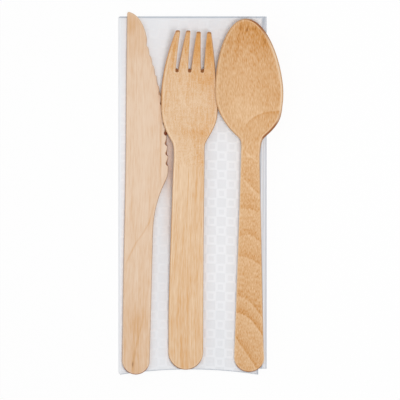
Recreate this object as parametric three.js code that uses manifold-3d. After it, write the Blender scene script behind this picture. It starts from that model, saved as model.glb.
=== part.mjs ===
// Disposable wooden cutlery on a folded paper napkin: a serrated knife, a four-tined fork and a spoon,
// each die-cut from one sheet of birch veneer and hot-pressed to shape.
//
// Millimetres, +Z up, +Y from the handle ends towards the tips. The origin is under the middle of the
// set, on the surface that the napkin lies on. Each utensil is made in a frame of its own, with its
// handle's axis along +Y, the handle's end at Y 0 and the surface that it lies on at Z 0.
import * as THREE from "three";
import { mergeVertices } from "three/addons/utils/BufferGeometryUtils.js";
import Module from "manifold-3d";

const wasm = await Module();
wasm.setup();

// Veneer
const veneer = 1.7; // thickness of the sheet
const edgeRound = 0.3; // edges broken by tumbling
const endFlat = 1.2; // half the width of the flat that ends a rounded outline
const seatGap = 0.2; // under a utensil that lies on the napkin

// Knife
const knifeLength = 165;
const knifeHandleEnd = 12.5; // width of the handle at its round end
const knifeHandleNeck = 13.1; // width of the handle where the blade begins
const knifeNeckAt = 61.3; // from the handle's end to the start of the blade
const heelAt = 90.5; // to the widest part of the blade
const heelFillet = 1.4;
const heelSweep = 2.4; // power of the curve from the handle out to the heel
const bladeWidth = 19.8; // from the back to the cutting edge, at the heel
const noseAt = 150; // to the start of the nose
const noseWidth = 10; // of the blade, at the start of the nose
const nosePoint = 1.2; // power of the nose's outline: 2 is an ellipse, less is more pointed
const noseCorner = 0.8; // where the nose meets the back
const creaseFromBack = 16.1; // of the line where the pressed edge starts
const pressedLeast = 1.1; // width of the pressed edge beside the nose
const pressedEdge = 0.9; // thickness that the cutting edge is pressed to
const firstToothAt = 152.9; // to the point of the first tooth, beside the nose
const toothPitch = 4.55;
const toothDepth = 0.95;
const toothLead = 0.11; // depth of a tooth's long side halfway along, from its point
const toothHook = 0.9; // share of the half tooth after which its short side runs out

// Fork
const forkLength = 153.9;
const forkHandleEnd = 15.7;
const forkNeckWidth = 13.8;
const forkNeckAt = 92; // to the highest point of the neck
const forkHeadAt = 121.4; // to the widest part of the head, which is also its lowest
const forkHeadWidth = 24.95;
const forkHeadDrop = 18.3; // from the widest part back to the neck
const forkNeckFillet = 1; // length over which the head's foot is eased into the handle
const forkHeadAside = 0.88; // of the head, to the left of the handle's axis
const forkTipAside = -0.1; // of the tine tips, likewise
const forkTipWidth = 16.25; // over the four tine tips
const forkNeckRise = 3; // of the neck above the handle's end
const forkTipRise = 8.6; // of the tine tips above the belly
const forkCup = 1.5; // of the head's sides above its middle
const forkRoll = 10.5; // degrees that the neck is twisted from the handle's end, left side up
const forkHeadRoll = 4; // degrees that are left of it at the head
const slotFoot = 135.6; // from the handle's end to the foot of the slots
const slotFootPitch = 5.87; // between the slots, at the foot
const slotTipPitch = 4.73; // between the slots, at the tips
const slotFootWidth = 1.35;
const slotTipWidth = 2.65;
const tineRound = 0.75; // corners of the tine tips

// Spoon
const spoonLength = 160.4;
const spoonHandleEnd = 13.5;
const spoonNeckWidth = 7.8;
const spoonNeckAt = 98;
const bowlAt = 128.2; // to the widest part of the bowl, which is also its lowest
const bowlWidth = 30.1;
const bowlDrop = 21.5; // from the widest part back to the neck
const bowlPoint = 1.75; // power of the outline towards the tip
const spoonNeckFillet = 1.5; // length over which the bowl's foot is eased into the handle
const spoonNeckRise = 3.3;
const spoonTipRise = 6.4; // of the bowl's tip above its floor
const spoonRoll = -3;
const bowlTurn = 2.6; // degrees that the bowl points to the left of the handle's axis
const bowlTurnedAt = 110; // to where that turn is complete

// Napkin: one sheet, folded across once and then along twice into four leaves of two layers
const leafWidth = 66.8; // of the top leaf, from the fold to its open edge
const leafLength = 162.5; // of the top leaf, from its top fold to its corners
const paper = 0.15; // thickness of the sheet
const layerPitch = 0.25; // between the two layers of a leaf
const leafPitch = 0.5; // between leaves
const openEdgeStep = 1.5; // that the bottom leaf stands out past the top one
const openEdgeSkew = 2.4; // that the top leaf's open edge runs in towards the bottom
const tailSag = 2.4; // bow in the top leaf's bottom edge
const tailStep = 2.7; // that the lower leaves fall short of the top one at the bottom
const headStep = 0.6; // that they stand out past it at the top

// Places of the handle ends on the napkin, from its fold and its bottom corners, and how far each
// utensil is turned clockwise, in degrees
const knifeInset = 8.6;
const knifeUp = 0.3;
const knifeTurn = 0.83;
const forkOver = 0.43; // that the head's raised side lies over the knife's edge
const forkUp = 2.3;
const forkTurn = 1.09;
const spoonClear = 1.62; // beside the fork, at its head
const spoonUp = 1.5;
const spoonTurn = 0;

const { clamp, degToRad, lerp, smoothstep } = THREE.MathUtils;

// Evenly spaced values, both ends included
function spread(from, to, steps) {
  return Array.from({ length: steps + 1 }, (_, step) => lerp(from, to, step / steps));
}

// Distances from a rounded end at which its outline is sampled, closest at the end
function roundEnd(depth, steps) {
  return spread(0, Math.PI / 2, steps).map((angle) => depth * (1 - Math.cos(angle)));
}

// Half the width of an ellipse at a distance from its middle, ending in a small flat. A power below 2
// makes its end more pointed.
function ellipse(halfWidth, halfLength, distance, power = 2) {
  return Math.max(endFlat, halfWidth * Math.sqrt(Math.max(0, 1 - (distance / halfLength) ** power)));
}

// The greater of two widths, with a fillet where one takes over from the other
function filletedMax(a, b, fillet) {
  return Math.max(a, b) + Math.max(0, fillet - Math.abs(a - b)) ** 2 / (4 * fillet);
}

// Half the width where a head runs into its handle, at a distance back from the head's widest part:
// an ellipse whose foot is eased into the handle
function shoulder(handle, distance, { width, drop, fillet }) {
  const spare = (width / 2) ** 2 - handle ** 2;
  const rise = spare * (1 - (distance / drop) ** 2);
  const ease = (2 * spare * fillet) / drop;
  return Math.sqrt(handle ** 2 + (rise + Math.hypot(rise, ease)) / 2);
}

function toSolid(geometry) {
  const bare = geometry.clone();
  bare.deleteAttribute("normal");
  bare.deleteAttribute("uv");
  const merged = mergeVertices(bare);
  const vertProperties = new Float32Array(merged.getAttribute("position").array);
  const triVerts = new Uint32Array(merged.index.array);
  return new wasm.Manifold(new wasm.Mesh({ numProp: 3, vertProperties, triVerts }));
}

function toGeometry(solid) {
  const { vertProperties, triVerts } = solid.getMesh();
  const geometry = new THREE.BufferGeometry();
  geometry.setAttribute("position", new THREE.BufferAttribute(new Float32Array(vertProperties), 3));
  geometry.setIndex(new THREE.BufferAttribute(new Uint32Array(triVerts), 1));
  return geometry;
}

// Moves every vertex of a geometry to the place that move() makes of it
function reshape(geometry, move) {
  const places = geometry.getAttribute("position");
  const point = new THREE.Vector3();
  for (let n = 0; n < places.count; n += 1) {
    point.fromBufferAttribute(places, n);
    move(point);
    places.setXYZ(n, point.x, point.y, point.z);
  }
  return geometry;
}

// A strip of veneer. rows are its stations along Y, across(y) gives its columns' places in X from one
// cut edge to the other, middle(x, y) is the height of the sheet's middle above its lowest, and
// gauge(x, y) is its thickness. Its two outer levels are set in, which breaks the cut edges.
function pressVeneer({ rows, across, middle, gauge = () => veneer }) {
  const columns = across(rows[0]).length - 1;
  const last = rows.length - 1;
  const levels = 3;
  const reach = 0.01; // over which the sheet's slope is taken
  const blank = new THREE.BoxGeometry(columns, last, levels, columns, last, levels);
  return reshape(blank, (point) => {
    const column = Math.round(point.x + columns / 2);
    const row = Math.round(point.y + last / 2);
    const level = Math.round(point.z + levels / 2);
    const inset = level === 0 || level === levels ? edgeRound : 0;
    const places = across(rows[row]);
    const axis = (places[0] + places[columns]) / 2;
    const half = (places[columns] - places[0]) / 2;
    const x = axis + ((places[column] - axis) * (half - inset)) / half;
    const y = lerp(rows[0] + inset, rows[last] - inset, (rows[row] - rows[0]) / (rows[last] - rows[0]));
    const above = Math.sign(level - levels / 2) * (gauge(x, y) / 2 - edgeRound + inset);
    const slopeX = (middle(x + reach, y) - middle(x - reach, y)) / (2 * reach);
    const slopeY = (middle(x, y + reach) - middle(x, y - reach)) / (2 * reach);
    const normal = new THREE.Vector3(-slopeX, -slopeY, 1).normalize();
    point.set(x, y, veneer / 2 + middle(x, y)).addScaledVector(normal, above);
  });
}

// Height of a utensil's axis as it lies: up the straight handle, down to the belly, up to the tip
function pressedAxis(y, { neckAt, neckRise, bellyAt, tipAt, tipRise }) {
  if (y < neckAt) return (neckRise * y) / neckAt;
  if (y < bellyAt) return neckRise * (1 - smoothstep(y, neckAt, bellyAt));
  return tipRise * ((y - bellyAt) / (tipAt - bellyAt)) ** 2;
}

// Twists a utensil from its handle's end to its neck and on to its belly, about an axis at the neck's
// height
function twist(geometry, { neckAt, neckRise, bellyAt }, roll, headRoll) {
  const pivot = veneer / 2 + neckRise;
  return reshape(geometry, (point) => {
    const inHead = smoothstep(point.y, neckAt, bellyAt);
    const angle = degToRad(lerp(roll, headRoll, inHead)) * smoothstep(point.y, 0, neckAt);
    const x = point.x;
    const up = point.z - pivot;
    point.x = x * Math.cos(angle) + up * Math.sin(angle);
    point.z = pivot + up * Math.cos(angle) - x * Math.sin(angle);
  });
}

// How far the belly of a cupped head sinks on its low side when the head is twisted
function rollDrop(width, cup, roll) {
  return ((width / 2) * Math.sin(degToRad(roll))) ** 2 / (4 * cup);
}

// An upright cutter that goes through everything from below the veneer to a height
function throughCutter(shape, height) {
  const depth = height + 2 * veneer;
  const cutter = new THREE.ExtrudeGeometry(shape, { depth, bevelEnabled: false, curveSegments: 5 });
  return cutter.translate(0, 0, -veneer);
}

// Knife

const knifeBack = -knifeHandleNeck / 2;
const knifeEndRound = knifeHandleEnd / 2;

function knifeEndHalf(y) {
  return ellipse(knifeEndRound, knifeEndRound, knifeEndRound - y);
}

// The side of the knife opposite its back: handle, sweep out to the heel, toothed edge, round nose
function knifeFront(y) {
  if (y < knifeEndRound) return knifeBack + knifeEndRound + knifeEndHalf(y);
  if (y < knifeNeckAt) {
    const taper = (y - knifeEndRound) / (knifeNeckAt - knifeEndRound);
    return knifeBack + lerp(knifeHandleEnd, knifeHandleNeck, taper);
  }
  if (y < noseAt) {
    const along = (y - knifeNeckAt) / (heelAt - knifeNeckAt);
    const sweep = lerp(knifeHandleNeck, bladeWidth, along ** heelSweep);
    const edge = lerp(bladeWidth, noseWidth, (Math.max(0, y - heelAt) / (noseAt - heelAt)) ** 2);
    return knifeBack - filletedMax(-sweep, -edge, heelFillet);
  }
  const nose = ellipse(noseWidth, knifeLength - noseAt, y - noseAt, nosePoint);
  return knifeBack + Math.max(noseCorner + endFlat, nose);
}

function knifeSpine(y) {
  if (y < knifeEndRound) return knifeBack + knifeEndRound - knifeEndHalf(y);
  const corner = clamp((y - knifeLength + noseCorner) / noseCorner, 0, 1);
  return knifeBack + noseCorner * (1 - Math.sqrt(1 - corner ** 2));
}

// Where the pressed strip along the cutting edge starts
function knifeCrease(y) {
  const least = Math.min(pressedLeast, (knifeFront(y) - knifeSpine(y)) / 2);
  return Math.min(knifeBack + creaseFromBack, knifeFront(y) - least);
}

// How much thinner the knife is pressed towards its teeth
function knifePressing(x, y) {
  const heel = smoothstep(y, heelAt - toothPitch, heelAt);
  const nose = 1 - smoothstep(y, noseAt, noseAt + 2 * toothPitch);
  const out = clamp((x - knifeCrease(y)) / (knifeFront(y) - knifeCrease(y)), 0, 1);
  return (veneer - pressedEdge) * heel * nose * out;
}

// One tooth gap: the edge draws in slowly from a point and steps out to the next one
function toothGap() {
  const half = toothPitch / 2;
  const shape = new THREE.Shape();
  shape.moveTo(-half, 0);
  shape.quadraticCurveTo(0, -toothLead, half / 2, -toothDepth);
  shape.quadraticCurveTo(toothHook * half, -toothDepth, half, 0);
  shape.lineTo(half, 2 * toothDepth);
  shape.lineTo(-half, 2 * toothDepth);
  return throughCutter(shape, veneer);
}

function makeKnife() {
  const rows = [
    ...roundEnd(knifeEndRound, 6),
    ...spread(knifeEndRound, knifeNeckAt, 3).slice(1),
    ...spread(knifeNeckAt, heelAt, 6).slice(1),
    ...spread(heelAt, noseAt, 10).slice(1),
    ...roundEnd(knifeLength - noseAt, 8).reverse().slice(1).map((depth) => knifeLength - depth),
  ];
  const across = (y) => [...spread(knifeSpine(y), knifeCrease(y), 3), knifeFront(y)];
  const gauge = (x, y) => veneer - knifePressing(x, y);
  let knife = toSolid(pressVeneer({ rows, across, middle: () => 0, gauge }));
  const outline = spread(firstToothAt, heelAt, 11).map((y) => new THREE.Vector2(knifeFront(y), y));
  const edge = new THREE.SplineCurve(outline);
  const teeth = Math.floor(edge.getLength() / toothPitch);
  for (let tooth = 0; tooth < teeth; tooth += 1) {
    const share = ((tooth + 0.5) * toothPitch) / edge.getLength();
    const at = edge.getPointAt(share);
    const along = edge.getTangentAt(share);
    const gap = toothGap().rotateZ(Math.atan2(along.y, along.x)).translate(at.x, at.y, 0);
    knife = knife.subtract(toSolid(gap));
  }
  return toGeometry(knife);
}

// Fork

const forkEndRound = forkHandleEnd / 2;
const forkLift = rollDrop(forkHeadWidth, forkCup, forkHeadRoll);
const forkHead = { width: forkHeadWidth, drop: forkHeadDrop, fillet: forkNeckFillet };
const forkAxis = {
  neckAt: forkNeckAt,
  neckRise: forkNeckRise,
  bellyAt: forkHeadAt,
  tipAt: forkLength,
  tipRise: forkTipRise,
};

function forkHalf(y) {
  if (y < forkEndRound) return ellipse(forkEndRound, forkEndRound, forkEndRound - y);
  const taper = clamp((y - forkEndRound) / (forkNeckAt - forkEndRound), 0, 1);
  const handle = lerp(forkEndRound, forkNeckWidth / 2, taper);
  if (y < forkHeadAt) return shoulder(handle, forkHeadAt - y, forkHead);
  return lerp(forkHeadWidth, forkTipWidth, ((y - forkHeadAt) / (forkLength - forkHeadAt)) ** 2) / 2;
}

function forkMiddle(x, y) {
  const head = smoothstep(y, forkNeckAt, forkHeadAt);
  return pressedAxis(y, forkAxis) + head * (forkLift + forkCup * (x / (forkHeadWidth / 2)) ** 2);
}

// How far the fork is bent to the left of its handle's axis
function forkAside(y) {
  const toTip = clamp((y - forkHeadAt) / (forkLength - forkHeadAt), 0, 1);
  return lerp(forkHeadAside, forkTipAside, toTip ** 2) * smoothstep(y, forkNeckAt, forkHeadAt);
}

function tineCutter(shape) {
  return throughCutter(shape, forkTipRise + forkLift + forkCup + veneer);
}

// One slot between tines, from its round foot out over the rounded corners of the two tips beside it
function slotCutter(side) {
  const foot = side * slotFootPitch;
  const tip = side * slotTipPitch;
  const cornerAt = forkLength - tineRound;
  const cornerOut = slotTipWidth / 2 + tineRound;
  const shape = new THREE.Shape();
  shape.absarc(foot, slotFoot + slotFootWidth / 2, slotFootWidth / 2, Math.PI, 2 * Math.PI);
  shape.lineTo(tip + slotTipWidth / 2, cornerAt);
  shape.absarc(tip + cornerOut, cornerAt, tineRound, Math.PI, Math.PI / 2, true);
  shape.lineTo(tip + cornerOut, forkLength + tineRound);
  shape.lineTo(tip - cornerOut, forkLength + tineRound);
  shape.absarc(tip - cornerOut, cornerAt, tineRound, Math.PI / 2, 0, true);
  return tineCutter(shape);
}

// The outer corner of an outer tine's tip
function cornerCutter(side) {
  const cornerAt = forkLength - tineRound;
  const cornerX = side * (forkTipWidth / 2 - tineRound);
  const clearX = side * (forkTipWidth / 2 + tineRound);
  const shape = new THREE.Shape();
  shape.absarc(cornerX, cornerAt, tineRound, side > 0 ? 0 : Math.PI, Math.PI / 2, side < 0);
  shape.lineTo(cornerX, forkLength + tineRound);
  shape.lineTo(clearX, forkLength + tineRound);
  shape.lineTo(clearX, cornerAt);
  return tineCutter(shape);
}

function makeFork() {
  const neckFoot = forkHeadAt - forkHeadDrop;
  const rows = [
    ...roundEnd(forkEndRound, 6),
    ...spread(forkEndRound, forkNeckAt, 5).slice(1),
    ...spread(forkNeckAt, neckFoot, 4).slice(1),
    ...spread(neckFoot, forkHeadAt, 14).slice(1),
    ...spread(forkHeadAt, forkLength, 12).slice(1),
  ];
  const across = (y) => spread(-forkHalf(y), forkHalf(y), 12);
  let fork = toSolid(pressVeneer({ rows, across, middle: forkMiddle }));
  for (const side of [-1, 0, 1]) fork = fork.subtract(toSolid(slotCutter(side)));
  for (const side of [-1, 1]) fork = fork.subtract(toSolid(cornerCutter(side)));
  const twisted = twist(toGeometry(fork), forkAxis, forkRoll, forkHeadRoll);
  return reshape(twisted, (point) => {
    point.x -= forkAside(point.y);
  });
}

// Spoon

const spoonEndRound = spoonHandleEnd / 2;
const bowl = { width: bowlWidth, drop: bowlDrop, fillet: spoonNeckFillet };
const spoonAxis = {
  neckAt: spoonNeckAt,
  neckRise: spoonNeckRise,
  bellyAt: bowlAt,
  tipAt: spoonLength,
  tipRise: spoonTipRise,
};

function spoonHalf(y) {
  if (y < spoonEndRound) return ellipse(spoonEndRound, spoonEndRound, spoonEndRound - y);
  const taper = clamp((y - spoonEndRound) / (spoonNeckAt - spoonEndRound), 0, 1);
  const handle = lerp(spoonEndRound, spoonNeckWidth / 2, taper);
  if (y < bowlAt) return shoulder(handle, bowlAt - y, bowl);
  return ellipse(bowlWidth / 2, spoonLength - bowlAt, y - bowlAt, bowlPoint);
}

// The rim runs straight from the neck to the tip, and the bowl hangs below it as a parabola
function spoonMiddle(x, y) {
  const base = pressedAxis(y, spoonAxis);
  if (y < spoonNeckAt) return base;
  const rim = lerp(spoonNeckRise, spoonTipRise, (y - spoonNeckAt) / (spoonLength - spoonNeckAt));
  return base + (rim - base) * (x / spoonHalf(y)) ** 2;
}

function makeSpoon() {
  const bowlFoot = bowlAt - bowlDrop;
  const rows = [
    ...roundEnd(spoonEndRound, 6),
    ...spread(spoonEndRound, spoonNeckAt, 5).slice(1),
    ...spread(spoonNeckAt, bowlFoot, 5).slice(1),
    ...spread(bowlFoot, bowlAt, 10).slice(1),
    ...roundEnd(spoonLength - bowlAt, 12).reverse().slice(1).map((depth) => spoonLength - depth),
  ];
  const across = (y) => spread(-spoonHalf(y), spoonHalf(y), 14);
  const spoon = pressVeneer({ rows, across, middle: spoonMiddle });
  twist(spoon, spoonAxis, spoonRoll, spoonRoll);
  return reshape(spoon, (point) => {
    const turned = smoothstep(point.y, spoonNeckAt, bowlTurnedAt);
    point.x -= Math.tan(degToRad(bowlTurn)) * turned * (point.y - bowlAt);
  });
}

// Napkin

const leafThick = layerPitch + paper;
const topLeaf = 3;
const foldAt = (topLeaf * leafPitch + leafThick) / 2; // axis of the rounds at the fold
const napkinTop = topLeaf * leafPitch + leafThick;

function leafLevel(leaf) {
  return leafThick / 2 + leaf * leafPitch;
}

// Where a leaf ends at the right. share is 0 at the napkin's bottom and 1 at its top. The two lowest
// leaves end in a round that joins them, and the two highest are open.
function leafEnd(leaf, share) {
  const skew = openEdgeSkew * (1 - share);
  if (leaf === topLeaf) return leafWidth - skew;
  if (leaf === topLeaf - 1) return leafWidth + (openEdgeStep - skew) / 2;
  return leafWidth + openEdgeStep - leafPitch / 2 - leafThick / 2;
}

// Stations across the sheet, each with its leaf, its share of the way from the fold to the leaf's end,
// its step aside from there, its level, the way that its outer face looks, and how far it has come
// from the top leaf's length to the lower leaves'. From its open edge the top leaf runs to the fold,
// goes round the whole stack and is then the bottom leaf. It turns back at the right as the second
// leaf, turns inside the fold and ends as the third, under the first.
function napkinStations() {
  const stations = [];
  const run = (leaf, from, to, steps) => {
    const face = { x: 0, z: from > to ? 1 : -1 };
    const lower = leaf === topLeaf ? 0 : 1;
    for (const share of spread(from, to, steps)) {
      stations.push({ leaf, share, aside: 0, level: leafLevel(leaf), face, lower });
    }
  };
  const round = (leaf, share, middle, radius, from, to, facing) => {
    for (const angle of spread(from, to, 8).slice(1, -1)) {
      const x = Math.cos(angle);
      const z = Math.sin(angle);
      const level = leafLevel(middle) + radius * z;
      const lower = leaf === topLeaf ? (angle - from) / (to - from) : 1;
      const face = { x: facing * x, z: facing * z };
      stations.push({ leaf, share, aside: radius * x, level, face, lower });
    }
  };
  const quarter = Math.PI / 2;
  run(topLeaf, 1, 0, 8);
  round(topLeaf, 0, topLeaf / 2, (topLeaf * leafPitch) / 2, quarter, 3 * quarter, 1);
  run(0, 0, 1, 2);
  round(0, 1, 0.5, leafPitch / 2, -quarter, quarter, 1);
  run(1, 1, 0, 2);
  round(1, 0, topLeaf / 2, leafPitch / 2, 3 * quarter, quarter, -1);
  run(2, 0, 1, 2);
  return stations;
}

// Stations along the sheet: up the front layer, round the top fold and down the back layer
function layerStations() {
  return [
    { share: 0, angle: 0 },
    ...spread(0, Math.PI, 6).map((angle) => ({ share: 1, angle })),
    { share: 0, angle: Math.PI },
  ];
}

function makeNapkin() {
  const stations = napkinStations().reverse();
  const layers = layerStations();
  const columns = stations.length - 1;
  const rows = layers.length - 1;
  const sheet = new THREE.BoxGeometry(columns, rows, paper, columns, rows, 1);
  return reshape(sheet, (point) => {
    const station = stations[Math.round(point.x + columns / 2)];
    const { share, angle } = layers[Math.round(point.y + rows / 2)];
    const out = layerPitch / 2 + point.z;
    const bow = tailSag * (1 - (2 * station.share - 1) ** 2);
    const tail = lerp(station.leaf === topLeaf ? bow : 0, tailStep, station.lower);
    const head = leafLength + headStep * station.lower - leafThick / 2;
    const acrossLeaf = station.share * (leafEnd(station.leaf, share) - foldAt);
    point.x = foldAt + acrossLeaf + station.aside + out * Math.cos(angle) * station.face.x;
    point.y = lerp(tail, head, share) + out * Math.sin(angle);
    point.z = station.level + out * Math.cos(angle) * station.face.z;
  });
}

// The set, laid out on the napkin and then centred over the origin

const forkX = knifeInset + knifeFront(forkHeadAt + forkUp - knifeUp) - forkOver + forkHeadWidth / 2;
const spoonX = forkX + forkHeadWidth / 2 + spoonClear + bowlWidth / 2;
const layout = new THREE.Group();

function lay(name, geometry, material, x, y, z, turn) {
  const mesh = new THREE.Mesh(geometry, new THREE.MeshStandardMaterial({ metalness: 0, ...material }));
  mesh.name = name;
  mesh.position.set(x, y, z);
  mesh.rotation.z = -degToRad(turn);
  layout.add(mesh);
}

const onNapkin = napkinTop + seatGap;
lay("napkin", makeNapkin(), { color: "#ececeb", roughness: 0.95 }, 0, 0, 0, 0);
lay("knife", makeKnife(), { color: "#e4c8ad", roughness: 0.7 }, knifeInset, knifeUp, onNapkin, knifeTurn);
lay("fork", makeFork(), { color: "#e5be95", roughness: 0.7 }, forkX, forkUp, onNapkin, forkTurn);
lay("spoon", makeSpoon(), { color: "#dcb082", roughness: 0.7 }, spoonX, spoonUp, onNapkin, spoonTurn);

const middle = new THREE.Box3().setFromObject(layout, true).getCenter(new THREE.Vector3());
layout.position.set(-middle.x, -middle.y, 0);

const bundle = new THREE.Group();
bundle.add(layout);

export default bundle;
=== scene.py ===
"""Dresses the wooden cutlery bundle: birch-veneer knife, fork and spoon on a folded tissue napkin.

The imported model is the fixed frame. Each node is replaced by a finer mesh of the same form, whose sizes
are in millimetres in the classes below and whose place comes from the node's own box. A utensil is drawn
flat first, as the die cuts it, then thickened, pressed to shape and twisted, so that its grain follows
the flat veneer. The napkin is one sheet with all its layers, folded as the real one is.
"""

import logging
import math
from abc import ABC, abstractmethod
from dataclasses import dataclass
from enum import Enum

import bpy
import numpy as np
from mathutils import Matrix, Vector
from mathutils.kdtree import KDTree


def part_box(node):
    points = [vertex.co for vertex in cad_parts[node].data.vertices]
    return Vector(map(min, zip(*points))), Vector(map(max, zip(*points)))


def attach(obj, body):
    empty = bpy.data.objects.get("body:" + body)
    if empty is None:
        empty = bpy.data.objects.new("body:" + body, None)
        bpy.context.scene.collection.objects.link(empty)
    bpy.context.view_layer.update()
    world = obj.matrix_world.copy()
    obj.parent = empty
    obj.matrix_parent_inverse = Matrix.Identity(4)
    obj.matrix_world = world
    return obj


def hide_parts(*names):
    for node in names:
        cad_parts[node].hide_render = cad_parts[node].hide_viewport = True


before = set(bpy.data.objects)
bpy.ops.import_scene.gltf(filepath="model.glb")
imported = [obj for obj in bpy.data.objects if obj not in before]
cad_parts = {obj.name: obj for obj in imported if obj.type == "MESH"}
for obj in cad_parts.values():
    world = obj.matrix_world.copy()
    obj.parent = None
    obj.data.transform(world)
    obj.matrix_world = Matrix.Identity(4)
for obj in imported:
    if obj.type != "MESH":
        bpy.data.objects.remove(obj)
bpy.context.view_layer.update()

log = logging.getLogger("cutlery")

MM = 0.001
MIX_A, MIX_B, MIX_COLOUR = 6, 7, 2  # the places of a mix node's two colours and of its colour output
TONES = (-2.0, -1.0, 0.0, 1.0)  # at which a wood is dark, deep, as its body is and pale

Array = np.ndarray
Share = float | Array
Pair = tuple[float, float]
Strips = list[tuple[Array, Array]]


class Paint(Enum):
    """The values that a mesh carries for its material, by the names that the material reads."""

    VENEER = "veneer"
    TONE = "tone"
    CUT = "cut"
    WALL = "wall"
    # the end grain's own colour, and painted shade in that colour along some edges
    END_GRAIN_AND_SHADE = "end_grain_and_shade"
    SHEET = "sheet"
    SUNK = "sunk"
    # painted shade at the napkin's edges and folds and on its lower leaves
    EDGE_SHADE = "crease"
    # painted brown shade in the gaps between the wooden pieces
    PAINTED_GAP_SHADE = "painted_gap_shade"


def linear(colour: str) -> tuple[float, float, float, float]:
    """Turns an sRGB hex colour to linear light.

    Args:
        colour: The colour, such as "#e5c9ae".

    Returns:
        Red, green, blue and an alpha of 1.
    """
    parts = [int(colour[at : at + 2], 16) / 255 for at in (1, 3, 5)]
    red, green, blue = (p / 12.92 if p <= 0.04045 else ((p + 0.055) / 1.055) ** 2.4 for p in parts)
    return red, green, blue, 1.0


def add_node(
    tree: bpy.types.NodeTree,
    kind: str,
    inputs: dict | None = None,
    output: int | str = 0,
    **settings: object,
) -> bpy.types.NodeSocket:
    """Adds a node to a tree.

    Args:
        tree: The tree that it goes in.
        kind: The node's type.
        inputs: A value or another node's output for each input, by name or place.
        output: The output that is asked for, by name or place.
        settings: The node's own properties.

    Returns:
        That output.
    """
    node = tree.nodes.new(kind)
    for name, value in settings.items():
        setattr(node, name, value)
    for key, value in (inputs or {}).items():
        if isinstance(value, bpy.types.NodeSocket):
            tree.links.new(value, node.inputs[key])
        else:
            node.inputs[key].default_value = value
    return node.outputs[output]


def new_material(name: str) -> tuple[bpy.types.Material, bpy.types.NodeTree, bpy.types.Node]:
    """Makes a material.

    Args:
        name: Its name.

    Returns:
        The material, its node tree and its shader.
    """
    material = bpy.data.materials.new(name)
    material.use_nodes = True
    return material, material.node_tree, material.node_tree.nodes["Principled BSDF"]


def smoothstep(value: Array, none_at: float, all_at: float) -> Array:
    """Runs smoothly from 0 to 1 between two values, up or down."""
    share = np.clip((value - none_at) / (all_at - none_at), 0, 1)
    return share * share * (3 - 2 * share)


def window(value: Array, rise: Pair, fall: Pair) -> Array:
    """Rises smoothly from 0 to 1 over one span and falls back to 0 over a higher one."""
    return smoothstep(value, *rise) * smoothstep(value, *fall[::-1])


def bell(value: Array, at: Share, half_width: Share) -> Array:
    """A soft bump of 1, which has faded to a third at its half width."""
    return np.exp(-(((value - at) / half_width) ** 2))


def blend(low: Share, high: Share, share: Array) -> Array:
    """Runs evenly from low to high as share goes from 0 to 1."""
    return low + (high - low) * share


def ellipse(half_width: Share, half_length: float, distance: Array, power: float = 2) -> Array:
    """Half the width of an ellipse at a distance from its middle.

    Args:
        half_width: At the middle.
        half_length: From the middle to the end.
        distance: From the middle.
        power: 2 for an ellipse, less for a more pointed end.

    Returns:
        The half widths, never quite nothing.
    """
    least = 0.2
    share = np.clip(np.abs(distance) / half_length, 0, 1)
    return np.maximum(least, half_width * np.sqrt(1 - share**power))


def filleted_max(a: Array, b: Array, fillet: float) -> Array:
    """The greater of two widths, with a fillet where one takes over from the other."""
    return np.maximum(a, b) + np.maximum(0, fillet - np.abs(a - b)) ** 2 / (4 * fillet)


def steps_of(*runs: tuple[float, float, float]) -> Array:
    """Stations along a line, in runs that each have a start, an end and a longest step."""
    parts = [np.linspace(low, high, math.ceil((high - low) / step) + 1) for low, high, step in runs]
    return np.concatenate(parts)


def round_end(depth: float, steps: int) -> Array:
    """Distances from a rounded end at which its outline is drawn, closest at the end."""
    return depth * (1 - np.cos(np.linspace(0, math.pi / 2, steps + 1)))


def growth_edge(above: Array, fade: float) -> Array:
    """The edge of a year's growth, which is dark and sharp on the line and pale just below it.

    Args:
        above: Distance above the line.
        fade: The distance over which both sides fade.

    Returns:
        The change of tone, -1 on the line.
    """
    sharp, pale = 0.5, 0.6
    late = smoothstep(above, -sharp, sharp / 2) * np.exp(-np.clip(above, 0, None) / fade)
    early = smoothstep(above, 0, -sharp) * np.exp(np.clip(above, None, 0) / fade)
    return pale * early - late


def add_object(name: str, data: bpy.types.ID) -> bpy.types.Object:
    """Puts an object in the scene.

    Args:
        name: Its name.
        data: Its mesh, camera or lamp.

    Returns:
        The object.
    """
    made = bpy.data.objects.new(name, data)
    bpy.context.scene.collection.objects.link(made)
    return made


def make_piece(name: str, points: Array, faces: Array, paints: dict[Paint, Array]) -> bpy.types.Object:
    """Makes a smooth-shaded mesh object.

    Args:
        name: The object's name.
        points: Its vertices, in millimetres.
        faces: The vertices of each face.
        paints: A number or a vector for each vertex, by the Paint that it is.

    Returns:
        The object, in the scene.
    """
    mesh = bpy.data.meshes.new(name)
    mesh.from_pydata((points * MM).tolist(), [], faces.tolist())
    for paint, values in paints.items():
        kind, key = ("FLOAT_VECTOR", "vector") if values.ndim == 2 else ("FLOAT", "value")
        layer = mesh.attributes.new(paint.value, kind, "POINT")
        layer.data.foreach_set(key, values.astype(np.float32).ravel())
    mesh.polygons.foreach_set("use_smooth", np.ones(len(mesh.polygons), dtype=bool))
    mesh.update()
    return add_object(name, mesh)


def dress(piece: bpy.types.Object, node: str, material: bpy.types.Material) -> None:
    """Puts a piece in the place of its node.

    Args:
        piece: The piece.
        node: The node that it stands for.
        material: Its material.
    """
    piece.data.materials.append(material)
    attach(piece, "root")
    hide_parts(node)
    log.info("%s: %d faces", piece.name, len(piece.data.polygons))


@dataclass(frozen=True)
class Swell:
    """A soft swell in an outline: how far out, where most, and how long it fades on either side."""

    out: float
    at: float
    below: float
    above: float

    def drawn(self, y: Array) -> Array:
        """How far the outline stands out at stations along the piece."""
        return self.out * bell(y, self.at, np.where(y < self.at, self.below, self.above))


class Mark(ABC):
    """Something that a surface shows at some places, such as a change of the wood's tone."""

    @abstractmethod
    def drawn(self, x: Array, y: Array) -> Array:
        """Its strength at places across and along the piece."""


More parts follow.
